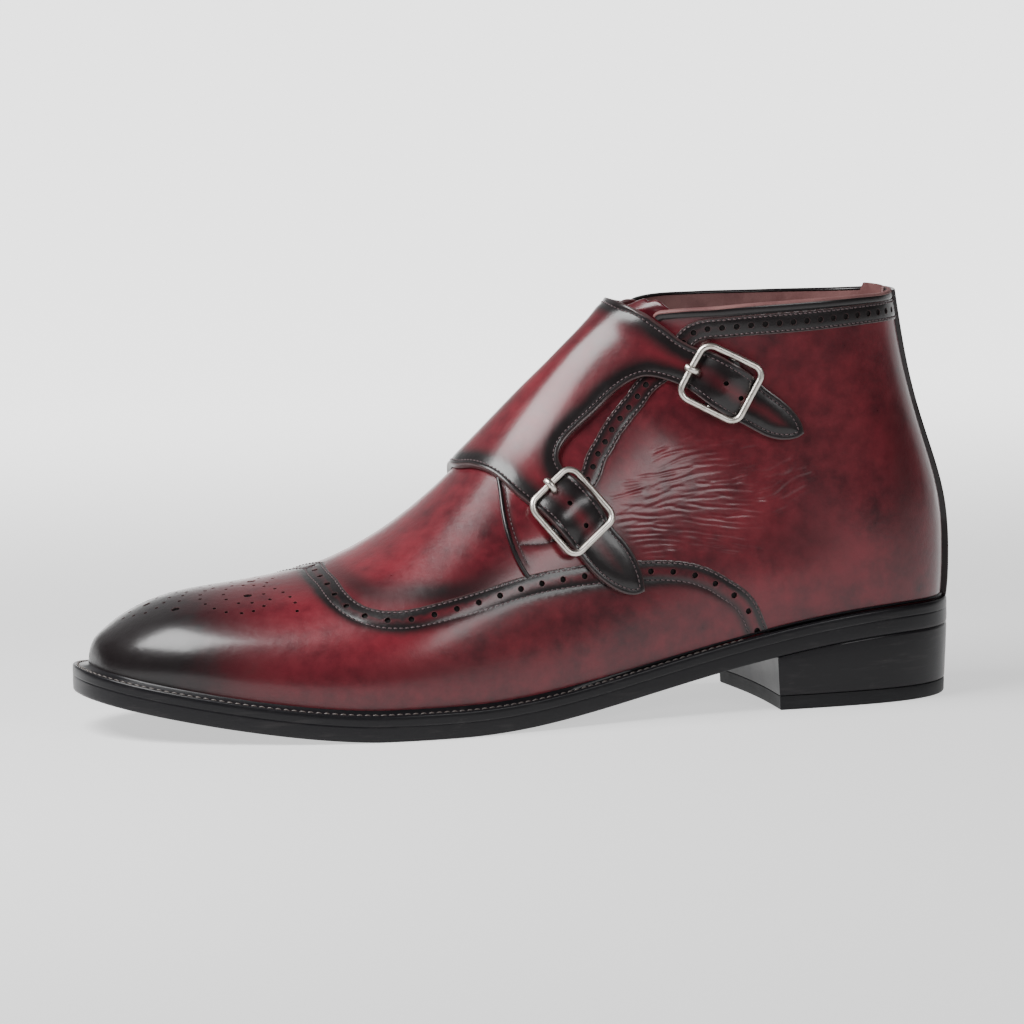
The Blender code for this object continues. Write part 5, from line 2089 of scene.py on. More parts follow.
@dataclass(frozen=True)
class FlapSizes:
    """Flap over the instep: knots on the last, and side view knots of the straps."""

    under: float = 0.55
    thickness: float = 1.85
    lift: float = 2.65
    lift_reach: float = 10.0
    medial: Knots = ((17.1, 0.62), (14.0, 0.70), (11.0, 0.74), (8.02, 0.72))
    front: Knots = (
        (8.02, 0.72), (8.03, 0.45), (7.98, 0.20), (7.94, 0.06), (7.95, -0.035), (8.08, -0.13),
        (8.23, -0.220), (8.41, -0.327), (8.57, -0.431), (8.70, -0.50),
    )
    top: Knots = (
        (16.11, -0.542), (16.29, -0.505), (16.50, -0.466), (16.80, -0.413), (17.27, -0.355), (17.62, -0.284),
        (17.85, -0.181), (17.93, -0.06), (17.90, 0.10), (17.72, 0.32), (17.42, 0.50), (17.1, 0.62),
    )
    upper_top: Knots = (
        (100.8, 127.5), (95.6, 124.6), (91.0, 123.4), (84.6, 120.2), (77.9, 115.4), (73.0, 110.6),
        (67.8, 106.6), (63.0, 101.8), (60.7, 98.0), (59.9, 94.6),
    )
    upper_bottom: Knots = (
        (59.9, 94.6), (62.4, 93.2), (65.3, 92.7), (71.8, 93.7), (79.5, 97.8), (86.4, 101.6), (92.4, 105.8),
        (98.6, 110.6), (103.4, 112.9), (106.8, 114.0),
    )
    cut: Knots = (
        (106.8, 114.0), (111.6, 114.7), (116.5, 113.2), (120.8, 110.5), (132.0, 101.2), (138.0, 96.4),
        (140.5, 94.0), (142.9, 90.6), (143.6, 88.0), (142.6, 84.6),
    )
    lower_top: Knots = (
        (142.6, 84.6), (138.9, 81.0), (134.8, 76.2), (129.6, 68.9), (127.6, 65.0), (125.0, 61.9),
        (120.6, 54.9), (118.5, 48.8), (117.9, 43.9),
    )
    lower_bottom: Knots = (
        (117.9, 43.9), (120.7, 43.0), (126.5, 44.1), (132.3, 47.7), (137.4, 52.8), (141.6, 58.4),
        (145.6, 62.8), (150.4, 68.4), (154.6, 73.0),
    )
    row_inset: float = 1.75
    row_pitch: float = 1.65
    row_depth: float = 0.18
    thread: float = 0.21
    spacing: float = 1.7
    edge_round: float = 0.75
    edge_drop: float = 0.45
    pit: float = 1.2
    step: float = 0.9
    crown: float = 0.28
    crown_reach: tuple[float, float] = (1.6, 4.5)
    strap_margin: float = 3.0
    hole_radius: float = 0.95
    corner_clear: float = 0.93


@dataclass
class Flap:
    """Flap from the medial side over the instep, cut away between its two straps."""

    last: Last
    finish: Finish
    thread: Finish
    sizes: FlapSizes = FlapSizes()

    def side_path(self, knots: Knots) -> Path:
        """Path through side view knots on the lateral side."""
        places = self.last.from_side(*np.array(knots).T)
        return Path.through(self.last, places, self.sizes.step)

    def on_side(self, knot: tuple[float, float]) -> tuple[float, ...]:
        """Place of one side view knot."""
        return tuple(self.last.from_side(*np.array([knot]).T)[0])

    def edges(self) -> list[Path]:
        """The flap's outline from the medial front, round the straps to the medial top."""
        s = self.sizes
        front = Path.through(self.last, (*s.front[:-1], self.on_side(s.lower_bottom[-1])), s.step)
        top = Path.through(self.last, (self.on_side(s.upper_top[0]), *s.top[1:]), s.step)
        return [
            front,
            self.side_path(s.lower_bottom).back(),
            self.side_path(s.lower_top).back(),
            self.side_path(s.cut).back(),
            self.side_path(s.upper_bottom).back(),
            self.side_path(s.upper_top).back(),
            top,
            Path.through(self.last, s.medial, 1.2),
        ]

    def lift(self, ground: Ground) -> Array:
        """Rise of the straps over the buckles' bars."""
        total = np.zeros(len(ground.points))
        for strap in STRAPS:
            run, across = strap.own(ground.points)
            near = (np.abs(across) < strap.half_width + self.sizes.strap_margin) & (ground.points[:, 1] < 0)
            part = np.clip(1 - (run / self.sizes.lift_reach) ** 2, 0, None) ** 1.5
            total += near * part * self.sizes.lift
        return total

    def crown(self, ground: Ground) -> Array:
        """Soft swell between the stitch rows."""
        return self.sizes.crown * faded(ground.edge, *self.sizes.crown_reach)

    def panel(self) -> Panel:
        """Flap and straps in one panel, with an underside."""
        edges = self.edges()
        s = self.sizes
        borders = [Border(path, Kind.CUT) for path in edges]
        holes = []
        for strap in STRAPS:
            spots = strap.place(self.last, *np.array(strap.holes).T)
            holes.extend(Hole(u, t, s.hole_radius) for u, t in spots)
        loop = Path.joined(*edges)
        flat = Panel("trial", self.last, borders, 0.0, two_sided=True)
        left = inside(flat.flat(loop.places), flat.flat(loop.beside(0.4).places)).mean() > 0.5
        sign = 1 if left else -1
        rows = []
        for group in (edges[0:2], edges[2:5], edges[5:7]):
            joined = Path(self.last, np.concatenate([p.places for p in group]))
            row = self.clean(joined, sign * s.row_inset)
            rows.append(Row(row, s.row_pitch, s.thread, s.row_depth))
        return Panel(
            "strap_flap", self.last, borders, s.under + s.thickness, s.thickness, holes=holes, rows=rows,
            reliefs=(self.lift, self.crown), spacing=s.spacing, two_sided=True, backed=True,
            edge_round=s.edge_round, edge_drop=s.edge_drop, pit=s.pit,
        )

    def clean(self, path: Path, distance: float) -> Path:
        """Path moved sideways, without the loops that corners make."""
        smooth = path.even(0.5)
        moved = smooth.beside(distance)
        gap = Nearest(smooth.points()).distance(moved.points())
        kept = moved.places[gap > abs(distance) * self.sizes.corner_clear]
        return Path(self.last, kept).even(0.8, 1.2, -1.2)

    def build(self) -> list[bpy.types.Object]:
        """Make the flap and its stitches."""
        panel = self.panel()
        return [panel.build(self.finish), sewn("strap_flap_stitches", panel, self.thread)]


@dataclass(frozen=True)
class Ribbon:
    """Strip or shell over rows of places, as a closed solid."""

    last: Last
    name: str
    places: Array
    outer: Array
    inner: Array
    weld: float = 0.01
    sharp: float = 55.0

    def build(self, finish: Finish) -> bpy.types.Object:
        """Make the solid from its outer and inner heights.

        Args:
            finish: The finish that dyes its points and gives its material.

        Returns:
            The object, riding on the body.
        """
        rows, columns = self.places.shape[:2]
        station, turn = self.places[..., 0], self.places[..., 1]
        sheets = [self.last.raised(station, turn, self.outer), self.last.raised(station, turn, self.inner)]
        number = np.arange(rows * columns).reshape(rows, columns)
        a, b, c, d = number[:-1, :-1], number[:-1, 1:], number[1:, 1:], number[1:, :-1]
        quads = np.stack([a, b, c, d], -1).reshape(-1, 4)
        shift = rows * columns
        faces = [tuple(q) for q in quads.tolist()]
        faces += [tuple(corner + shift for corner in reversed(q)) for q in quads.tolist()]
        ring = np.concatenate([number[0], number[1:, -1], number[-1, ::-1][1:], number[::-1, 0][1:-1]])
        for p, q in zip(ring.tolist(), np.roll(ring, -1).tolist()):
            faces.append((q, p, p + shift, q + shift))
        thing = mesh_object(self.name, np.concatenate([s.reshape(-1, 3) for s in sheets]), faces)
        welded(thing, self.weld)
        count = len(thing.data.vertices)
        points = np.zeros(count * 3)
        thing.data.vertices.foreach_get("co", points)
        points = points.reshape(-1, 3) / MM
        shoe = np.stack([HEEL_CENTRE - points[:, 0], points[:, 1], points[:, 2]], -1)
        far = np.full(count, FAR)
        attributes(thing, finish.dyed(Ground(np.zeros((count, 2)), shoe, far, far)))
        shaded(thing, self.sharp)
        return finish.dress(thing)


@dataclass(frozen=True)
class InsideSizes:
    """Lining, tongue, back patch and insole, in millimetres, stations and turns."""

    lining: tuple[float, float] = (-1.0, -1.9)
    lining_from: float = 8.9
    lining_below: float = 0.02
    tongue_from: float = 9.0
    tongue_tip: float = 18.48
    tongue_round: float = 0.9
    notch: tuple[float, float, float] = (0.12, -0.60, 0.07)
    far_lobe: tuple[float, float, float] = (0.35, -0.50, -0.15)
    tongue_rows: float = 1.6
    tongue_reach: Knots = ((9.0, 0.40), (12.0, 0.46), (16.0, 0.50), (18.4, 0.50))
    tongue_below: float = 15.0
    tongue_beside: float = 22.0
    tongue_faces: tuple[float, float] = (-2.9, -3.4)
    bulge: float = 0.55
    bulge_reach: float = 1.6
    patch: tuple[float, float] = (-1.9, -2.5)
    patch_stations: tuple[float, float] = (15.2, 18.03)
    patch_reach: Knots = ((15.2, 0.12), (16.2, 0.22), (17.9, 0.27), (18.1, 0.20))
    insole_inset: float = 2.4
    insole_round: float = 0.5
    insole_up: float = 0.1
    insole_weld: float = 0.02
    insole_rings: tuple[float, ...] = (1.0, 0.985, 0.95, 0.75, 0.5, 0.25, 0.0)


@dataclass
class Inside:
    """Lining, tongue and insole."""

    last: Last
    lining: Finish
    tongue: Finish
    insole: Finish
    quarters: QuarterSizes = QuarterSizes()
    sizes: InsideSizes = InsideSizes()

    def build(self) -> list[bpy.types.Object]:
        """Make the pieces that show through the collar."""
        sides = [self.lining_side(side) for side in (-1, 1)]
        return [*sides, self.tongue_piece(), self.back_patch(), self.insole_piece()]

    def lining_side(self, side: int) -> bpy.types.Object:
        """Lining of one side, from the ball to the collar."""
        s = self.sizes
        knots = self.quarters.top if side < 0 else self.quarters.medial_top
        top = Path.through(self.last, knots, 0.5).places
        low_turn, high_turn = 2.0, abs(top[0, 1])
        turns = low_turn - (low_turn - high_turn) * np.linspace(0, 1, 46)
        ceiling = np.interp(-turns, top[::-1, 1], top[::-1, 0]) - s.lining_below
        stations = s.lining_from + (ceiling - s.lining_from) * np.linspace(0, 1, 40)[:, None]
        places = np.stack([stations, np.broadcast_to(turns * side, stations.shape)], -1)
        edges = np.abs(self.last.edge_turns(places[:, 0, 0], side, 0.0))
        edges[places[:, 0, 0] > self.last.heel_station(0.0)] = low_turn
        scale = (edges[:, None] - high_turn) / (low_turn - high_turn)
        places[..., 1] = side * (high_turn + (np.abs(places[..., 1]) - high_turn) * scale)
        outer, inner = (np.full(stations.shape, height) for height in s.lining)
        word = "lateral" if side < 0 else "medial"
        return Ribbon(self.last, f"lining_{word}", places, outer, inner).build(self.lining)

    def tongue_piece(self) -> bpy.types.Object:
        """Tongue under the flap, with its two rounded lobes above the flap's edge."""
        s = self.sizes
        share = np.linspace(-1, 1, 45)
        deep, middle, width = s.notch
        notch = deep * np.exp(-(((share - middle) / width) ** 2))
        lobes = s.tongue_tip - s.tongue_round * np.abs(share) ** 6 - notch
        lobes -= s.far_lobe[0] * faded(share, *s.far_lobe[1:])
        part = 1 - (1 - np.linspace(0, 1, 56)) ** s.tongue_rows
        station = s.tongue_from + (lobes[None] - s.tongue_from) * part[:, None]
        turn = np.interp(station, *zip(*s.tongue_reach)) * share[None]
        below, beside = (lobes[None] - station) * s.tongue_below, (1 - np.abs(share))[None] * s.tongue_beside
        margin = np.minimum(below, beside)
        bulge = s.bulge * np.sqrt(np.clip(margin / s.bulge_reach, 0, 1))
        outer, inner = s.tongue_faces
        places = np.stack([station, turn], -1)
        return Ribbon(self.last, "tongue", places, outer + bulge, inner - bulge).build(self.tongue)

    def back_patch(self) -> bpy.types.Object:
        """Lining patch inside the back of the collar."""
        s = self.sizes
        stations = np.linspace(*s.patch_stations, 24)
        across = np.linspace(-1, 1, 17)
        reach = np.interp(stations, *zip(*s.patch_reach))
        turn = np.where(across < 0, -2 - across * reach[:, None], 2 - across * reach[:, None])
        places = np.stack([np.broadcast_to(stations[:, None], turn.shape), turn], -1)
        outer, inner = (np.full(turn.shape, height) for height in s.patch)
        return Ribbon(self.last, "lining_back_patch", places, outer, inner).build(self.lining)

    def insole_piece(self) -> bpy.types.Object:
        """Insole inside the lower edge."""
        sole, s = self.last.sole, self.sizes
        outline = self.last.foot_outline(0.0, 90)
        inner = grown(outline, -s.insole_inset)
        middle = (inner + np.roll(inner[::-1], 1, axis=0)) / 2
        loops = [np.column_stack([inner, sole.seat_up(inner[:, 0]) + s.insole_up])]
        for share in s.insole_rings:
            flat = middle + (inner - middle) * share
            drop = s.insole_round if share == 1 else 0.0
            loops.append(np.column_stack([flat, sole.seat_up(flat[:, 0]) + sole.insole - drop]))
        thing = mesh_object("insole", np.concatenate(loops), walls(len(outline), len(loops)))
        welded(thing, s.insole_weld)
        shaded(thing)
        return self.insole.dress(thing)


@dataclass(frozen=True)
class BackStripSizes:
    """Strip up the back of the heel, in millimetres and stations."""

    height: float = 1.7
    swell: float = 0.9
    swell_station: float = 14.0
    swell_reach: float = 1.6
    thickness: float = 1.45
    half_low: float = 7.0
    half_middle: float = 5.5
    half_top: float = 9.0
    from_station: float = 12.9
    to_station: float = 17.96
    middle_stations: tuple[float, float] = (14.6, 16.4)
    low: float = 2.0
    edge_round: float = 0.8
    edge_drop: float = 0.6
    sunk: float = 0.3
    beside_turn: float = 1.98
    edge_marks: tuple[float, ...] = (0.0, 0.02, 0.06, 0.12, 0.2, 0.35, 0.55, 0.8)


@dataclass
class BackStrip:
    """Strip of leather over the seam up the back."""

    last: Last
    finish: Finish
    sizes: BackStripSizes = BackStripSizes()

    def places_at(self, stations: Array, across: Array) -> Array:
        """Places at distances across the back line, in millimetres."""
        _, around = self.last.slopes(stations, np.full(len(stations), self.sizes.beside_turn))
        speed = np.linalg.norm(around, axis=1)
        turn = np.where(across < 0, -2.0, 2.0) - across / speed
        return np.stack([stations, turn], -1)

    def half_width(self, stations: Array) -> Array:
        """Half the strip's width at stations."""
        s = self.sizes
        knots = [s.from_station, *s.middle_stations, s.to_station]
        return np.interp(stations, knots, [s.half_low, s.half_middle, s.half_middle, s.half_top])

    def build(self) -> list[bpy.types.Object]:
        """Make the strip with its rounded edges."""
        s = self.sizes
        stations = np.linspace(self.last.heel_station(s.low), s.to_station, 90)
        rim = np.array(s.edge_marks)
        marks = np.concatenate([rim, np.linspace(1, 19, 19), 20 - rim[::-1]]) / 10 - 1
        across = marks[None] * self.half_width(stations)[:, None]
        grid = np.broadcast_to(stations[:, None], across.shape)
        places = self.places_at(grid.ravel(), across.ravel()).reshape(*across.shape, 2)
        margin = self.half_width(stations)[:, None] - np.abs(across)
        part = np.clip(1 - margin / s.edge_round, 0, 1)
        swell = s.swell * np.exp(-(((stations - s.swell_station) / s.swell_reach) ** 2))[:, None]
        outer = s.height + swell - s.edge_drop * (1 - np.sqrt(1 - part**2))
        inner = np.full(outer.shape, s.height - s.thickness - s.sunk)
        return [Ribbon(self.last, "back_strip", places, outer, inner).build(self.finish)]


# ---- sole ----

class Step(NamedTuple):
    """Point of an edge's profile: how far in from the rim, and how high."""

    inset: float
    up: float


@dataclass(frozen=True)
class EdgeSizes:
    """Profiles of the sole's edges, in millimetres."""

    outsole: tuple[Step, ...] = (
        Step(0.90, 0.0), Step(0.38, 0.10), Step(0.10, 0.42), Step(0.0, 1.0), Step(-0.04, 2.8),
        Step(0.0, 4.75), Step(0.02, 5.30), Step(0.08, 5.42),
    )
    welt: tuple[Step, ...] = (
        Step(0.08, 5.42), Step(0.01, 5.54), Step(0.0, 6.0), Step(-0.03, 7.2), Step(0.02, 8.35),
        Step(0.22, 8.85), Step(0.62, 9.08), Step(1.05, 9.02), Step(1.35, 8.80), Step(1.9, 8.88),
        Step(2.5, 9.1),
    )
    welt_high: float = 4.5
    welt_inner: tuple[Step, ...] = (Step(-0.7, -0.5), Step(-0.35, 0.0), Step(0.8, 0.0))
    stitch_inset: float = 1.75
    stitch_up: float = 8.9
    stitch_pitch: float = 2.7
    stitch_half_gap: float = 0.25
    stitch_from: float = 80.0
    stitch_radius: float = 0.34
    stitch_press: float = 0.9
    stitch_rise: float = 0.16
    stitch_dip: float = 0.42
    stack_gaps: tuple[float, float] = (0.02, 0.05)
    block_sharp: float = 40.0
    top_lift: tuple[Step, ...] = (
        Step(1.75, 0.0), Step(1.25, 0.12), Step(1.02, 0.5), Step(0.90, 4.4), Step(1.0, 4.8), Step(1.3, 5.0),
    )
    stack: tuple[Step, ...] = (
        Step(1.3, 0.0), Step(0.92, 0.012), Step(0.80, 0.04), Step(0.32, 0.55), Step(0.05, 0.95),
        Step(0.15, 0.985), Step(0.45, 1.0),
    )
    breast_bow: float = 1.6
    breast_clear: float = 2.6


@dataclass
class Bottom:
    """Welt, outsole and heel around the upper's lower edge."""

    last: Last
    edge: Finish
    rubber: Finish
    thread: Finish
    sizes: EdgeSizes = EdgeSizes()
    steps: int = 260
    foot: Array = field(init=False)
    margin: Array = field(init=False)

    def __post_init__(self) -> None:
        """Work out the foot's outline and the ledge around it."""
        self.foot = self.last.foot_outline(0.0, self.steps)
        knots, margins = zip(*MARGINS)
        self.margin = np.interp(self.foot[:, 0], knots, margins)

    def rim(self, inset: float) -> Array:
        """Plan outline at a distance inside the sole's rim."""
        return grown(self.foot, self.margin - inset)

    def cap(self, start: int, flip: bool) -> Faces:
        """Faces across a loop of the outline, from each lateral point to its medial one."""
        n, count = self.steps, len(self.foot)
        faces = []
        for j in range(n):
            ring = [n - j, n - j - 1, (n + j + 1) % count, (n + j) % count]
            ring = [start + corner for i, corner in enumerate(ring) if corner != ring[i - 1]]
            if len(ring) > 2:
                faces.append(tuple(reversed(ring)) if flip else tuple(ring))
        return faces

    def build(self) -> list[bpy.types.Object]:
        """Make every piece of the bottom."""
        return [self.outsole(), self.welt(), self.welt_stitches(), *self.heel()]

    def looped(self, name: str, loops: Sequence[Array], caps: bool, finish: Finish) -> bpy.types.Object:
        """Walls through closed loops of points, with caps on the first and last."""
        count = len(loops[0])
        faces = walls(count, len(loops))
        if caps:
            faces += self.cap(0, True) + self.cap((len(loops) - 1) * count, False)
        return solid(name, np.concatenate(loops), faces, finish)

    def profiled(self, steps: Sequence[Step]) -> list[Array]:
        """Loops of the sole's rim through the steps of a profile."""
        loops = []
        for step in steps:
            flat = self.rim(step.inset)
            loops.append(np.column_stack([flat, self.last.sole.tread_up(flat[:, 0]) + step.up]))
        return loops

    def outsole(self) -> bpy.types.Object:
        """Outsole with rounded edges."""
        return self.looped("outsole", self.profiled(self.sizes.outsole), True, self.edge)

    def welt(self) -> bpy.types.Object:
        """Welt that slopes up to the upper, and runs on as the heel's rand."""
        s = self.sizes
        loops = self.profiled(s.welt)
        foot = self.last.foot_outline(s.welt_high, self.steps)
        for step in s.welt_inner:
            flat = grown(foot, -step.inset)
            loops.append(np.column_stack([flat, self.last.sole.seat_up(flat[:, 0]) + s.welt_high + step.up]))
        return self.looped("welt", loops, False, self.edge)

    def welt_stitches(self) -> bpy.types.Object:
        """Row of stitches along the welt, ahead of the heel."""
        s = self.sizes
        flat = self.rim(s.stitch_inset)
        flat = flat[flat[:, 0] > s.stitch_from]
        line = np.column_stack([flat, self.last.sole.tread_up(flat[:, 0]) + s.stitch_up])
        run = travelled(line)
        middle = (np.arange(int(run[-1] / s.stitch_pitch))[:, None] + 0.5) * s.stitch_pitch
        marks = middle + STITCH_RINGS * (s.stitch_pitch / 2 - s.stitch_half_gap)
        centres = np.stack([np.interp(marks, run, line[:, k]) for k in range(3)], -1)
        centres[..., 2] += s.stitch_rise - s.stitch_dip * np.abs(STITCH_RINGS) ** 3
        outward = np.broadcast_to(np.array([0.0, 0.0, 1.0]), centres.shape)
        points, faces = stitches(centres, outward, s.stitch_radius, s.stitch_press)
        thing = mesh_object("welt_stitches", points, faces)
        shaded(thing)
        return self.thread.dress(thing)

    def heel_loop(self) -> Array:
        """Plan outline of the heel, with its breast."""
        sole = self.last.sole
        rim = self.rim(0.0)
        n = self.steps
        lateral, medial = rim[:n + 1], np.concatenate([rim[n:], rim[:1]])[::-1]
        ends = []
        for side, breast in ((lateral, sole.breast_lateral), (medial, sole.breast_medial)):
            cut = int(np.argmax(side[:, 0] > breast))
            share = (breast - side[cut - 1, 0]) / (side[cut, 0] - side[cut - 1, 0])
            end = side[cut - 1] + (side[cut] - side[cut - 1]) * share
            clear = int(np.argmax(side[:, 0] > breast - self.sizes.breast_clear))
            ends.append(np.concatenate([side[:clear], [end]]))
        lateral, medial = ends
        share = np.linspace(0, 1, 16)[1:-1, None]
        breast = lateral[-1] + (medial[-1] - lateral[-1]) * share
        breast[:, 0] -= self.sizes.breast_bow * np.sin(math.pi * share[:, 0])
        loop = np.concatenate([medial[::-1], lateral[1:], breast])
        return loop[::-1]

    def heel(self) -> list[bpy.types.Object]:
        """Stacked heel and its top lift."""
        sole, s = self.last.sole, self.sizes
        plan = self.heel_loop()
        nxt = np.roll(plan, -1, axis=0)
        if (plan[:, 0] * nxt[:, 1] - nxt[:, 0] * plan[:, 1]).sum() < 0:
            plan = plan[::-1]
        edges = np.roll(plan, -1, axis=0) - plan
        edges /= np.linalg.norm(edges, axis=1, keepdims=True)
        normal = np.stack([edges[:, 1], -edges[:, 0]], -1)
        before = np.roll(normal, 1, axis=0)
        outward = (normal + before) / (1 + (normal * before).sum(1, keepdims=True))
        low, top = sole.top_lift + s.stack_gaps[0], sole.tread_up(plan[:, 0]) + s.stack_gaps[1]
        lift, stack = [], []
        for step in s.top_lift:
            lift.append(np.column_stack([plan - outward * step.inset, np.full(len(plan), step.up)]))
        for step in s.stack:
            stack.append(np.column_stack([plan - outward * step.inset, low + (top - low) * step.up]))
        return [self.block("top_lift", lift, self.rubber), self.block("heel_stack", stack, self.edge)]

    def block(self, name: str, loops: Sequence[Array], finish: Finish) -> bpy.types.Object:
        """Walls through loops, with a fan closing each end."""
        count = len(loops[0])
        faces = walls(count, len(loops))
        points = np.concatenate([*loops, [loops[0].mean(0)], [loops[-1].mean(0)]])
        first = len(loops) * count
        for i in range(count):
            j = (i + 1) % count
            faces.append((j, i, first))
            faces.append(((len(loops) - 1) * count + i, (len(loops) - 1) * count + j, first + 1))
        return solid(name, points, faces, finish, self.sizes.block_sharp)


def solid(
    name: str, points: Array, faces: Sequence[Sequence[int]], finish: Finish, sharp: float = 50.0
) -> bpy.types.Object:
    """Object with doubled points welded, its faces turned outwards, smooth and dressed.

    Args:
        name: Name of the object.
        points: Points in shoe millimetres.
        faces: Corners of the faces.
        finish: Its finish.
        sharp: Edges bent by more degrees stay sharp.

    Returns:
        The object.
    """
    thing = mesh_object(name, points, faces)
    welded(thing, SOLID_WELD)
    shaded(thing, sharp)
    return finish.dress(thing)


# ---- buckles ----

@dataclass(frozen=True)
class BuckleSizes:
    """Buckle frame, bar and prong, in millimetres."""

    half_length: float = 10.7
    half_width: float = 10.3
    corner: float = 3.6
    wire: tuple[float, float] = (1.05, 1.12)
    height: float = 3.6
    flatten: float = 0.75
    bar: float = 0.75
    bar_height: float = 1.8
    prong: tuple[float, float] = (0.95, 1.15)
    prong_path: Knots = (
        (1.4, 1.8), (1.2, 2.4), (0.0, 2.6), (-2.0, 2.5), (-4.5, 2.2), (-6.8, 2.1), (-8.1, 2.8), (-8.6, 4.3),
        (-9.4, 5.3), (-10.7, 5.7), (-11.6, 5.3), (-11.9, 4.8),
    )
    swells: Knots = ((-8.2, 0.12), (-12.3, 0.12))
    swell_reach: float = 0.5
    prong_sharp: float = 60.0
    tab_half: tuple[float, float] = (8.9, 5.0)
    tab_narrows: tuple[float, float] = (2.0, 6.0)
    tab_run: tuple[float, float] = (-1.6, 11.0)
    tab_up: float = 0.45
    tab_thick: float = 0.9
    tab_rise: float = 7.0


@dataclass
class Buckle:
    """Wire frame with its centre bar and prong, over one strap."""

    last: Last
    strap: StrapSizes
    metal: Finish
    leather: Finish
    sizes: BuckleSizes = BuckleSizes()

    def over(self, run: Array, across: Array, height: Array | float) -> tuple[Array, Array]:
        """Points and normals over the strap's line."""
        station, turn = np.moveaxis(self.strap.place(self.last, run, across), -1, 0)
        return self.last.raised(station, turn, height), self.last.normal(station, turn)

    def framed(self, run: Array, across: Array) -> tuple[Array, Array]:
        """Distances along and across the strap, of places given in the frame's own axes."""
        c, n = math.cos(self.strap.frame_turn), math.sin(self.strap.frame_turn)
        shift = self.strap.frame_shift
        return run * c - across * n + shift[0], run * n + across * c + shift[1]

    def build(self) -> list[bpy.types.Object]:
        """Make frame with bar, prong and the tab that holds the bar."""
        return [self.frame(), self.prong(), self.tab()]

    def tab(self) -> bpy.types.Object:
        """Leather tab from over the bar to where it is sewn down under the strap."""
        s = self.sizes
        run = np.linspace(*s.tab_run, 30)
        half = np.interp(run, s.tab_narrows, s.tab_half)
        across = np.linspace(-1, 1, 13) * half[:, None]
        run = np.broadcast_to(run[:, None], across.shape)
        places = self.strap.place(self.last, *self.framed(run.ravel(), across.ravel())).reshape(*run.shape, 2)
        outer = s.tab_up + (s.bar_height + s.bar) * np.clip(1 - (run / s.tab_rise) ** 2, 0, None) ** 1.5
        ribbon = Ribbon(self.last, f"buckle_tab_{self.strap.name}", places, outer, outer - s.tab_thick)
        return ribbon.build(self.leather)

    def flattened(self, points: Array) -> Array:
        """Points drawn towards the plane that fits them best."""
        centre = points.mean(0)
        axes = np.linalg.svd(points - centre)[2]
        off = (points - centre) @ axes[2]
        return points - self.sizes.flatten * off[:, None] * axes[2]

    def wire(self) -> tuple[Array, Array]:
        """Centres of the frame's wire, and the direction away from the shoe."""
        s = self.sizes
        angles = np.linspace(0, 2 * math.pi, 96, endpoint=False)
        c, n = np.cos(angles), np.sin(angles)
        run = np.sign(c) * (s.half_length - s.corner) + s.corner * c
        across = np.sign(n) * (s.half_width - s.corner) + s.corner * n
        flat = np.stack([run, across], -1)
        dense = np.concatenate([flat, flat[:1]])
        travel = travelled(dense)
        marks = np.linspace(0, travel[-1], 84, endpoint=False)
        run, across = (np.interp(marks, travel, dense[:, k]) for k in range(2))
        centres, normal = self.over(*self.framed(run, across), s.height)
        outward = normal.mean(0) / np.linalg.norm(normal.mean(0))
        return self.flattened(centres), outward * np.ones_like(centres)

    def frame(self) -> bpy.types.Object:
        """Rounded frame and the bar across it."""
        s = self.sizes
        centres, outward = self.wire()
        sideways = np.cross(outward, directions(centres, closed=True))
        radii = np.broadcast_to(np.array(s.wire), (1, len(centres), 2))
        points, faces = tube(centres[None], outward[None], sideways[None], radii, 14, closed=True)
        across = np.linspace(-s.half_width, s.half_width, 12)
        bar, normal = self.over(*self.framed(np.zeros(len(across)), across), s.bar_height)
        for end in (0, -1):
            bar[end] = centres[int(np.argmin(np.linalg.norm(centres - bar[end], axis=1)))]
        radii = np.broadcast_to(np.array([s.bar, s.bar]), (1, len(bar), 2))
        more, bar_faces = tube(bar[None], normal[None], np.cross(normal, directions(bar))[None], radii, 10)
        faces += [tuple(corner + len(points) for corner in face) for face in bar_faces]
        thing = mesh_object(f"buckle_frame_{self.strap.name}", np.concatenate([points, more]), faces)
        shaded(thing)
        return self.metal.dress(thing)

    def prong(self) -> bpy.types.Object:
        """Prong from the bar up through the strap and over the frame."""
        s = self.sizes
        knots = np.array(s.prong_path)
        path = Spline(range(len(knots)), knots).at(np.linspace(0, len(knots) - 1, 44))
        centres, normal = self.over(*self.framed(path[:, 0], np.zeros(len(path))), path[:, 1])
        ahead = directions(centres)
        sideways = np.cross(normal, ahead)
        sideways /= np.linalg.norm(sideways, axis=1, keepdims=True)
        outward = np.cross(ahead, sideways)
        size = 1.0
        for run, share in s.swells:
            size = size + share * np.exp(-(((path[:, 0] - run) / s.swell_reach) ** 2))
        radii = (np.array(s.prong)[None] * size[:, None])[None]
        points, faces = tube(centres[None], outward[None], sideways[None], radii, 12)
        thing = mesh_object(f"prong_{self.strap.name}", points, faces)
        shaded(thing, s.prong_sharp)
        return self.metal.dress(thing)


# ---- studio ----

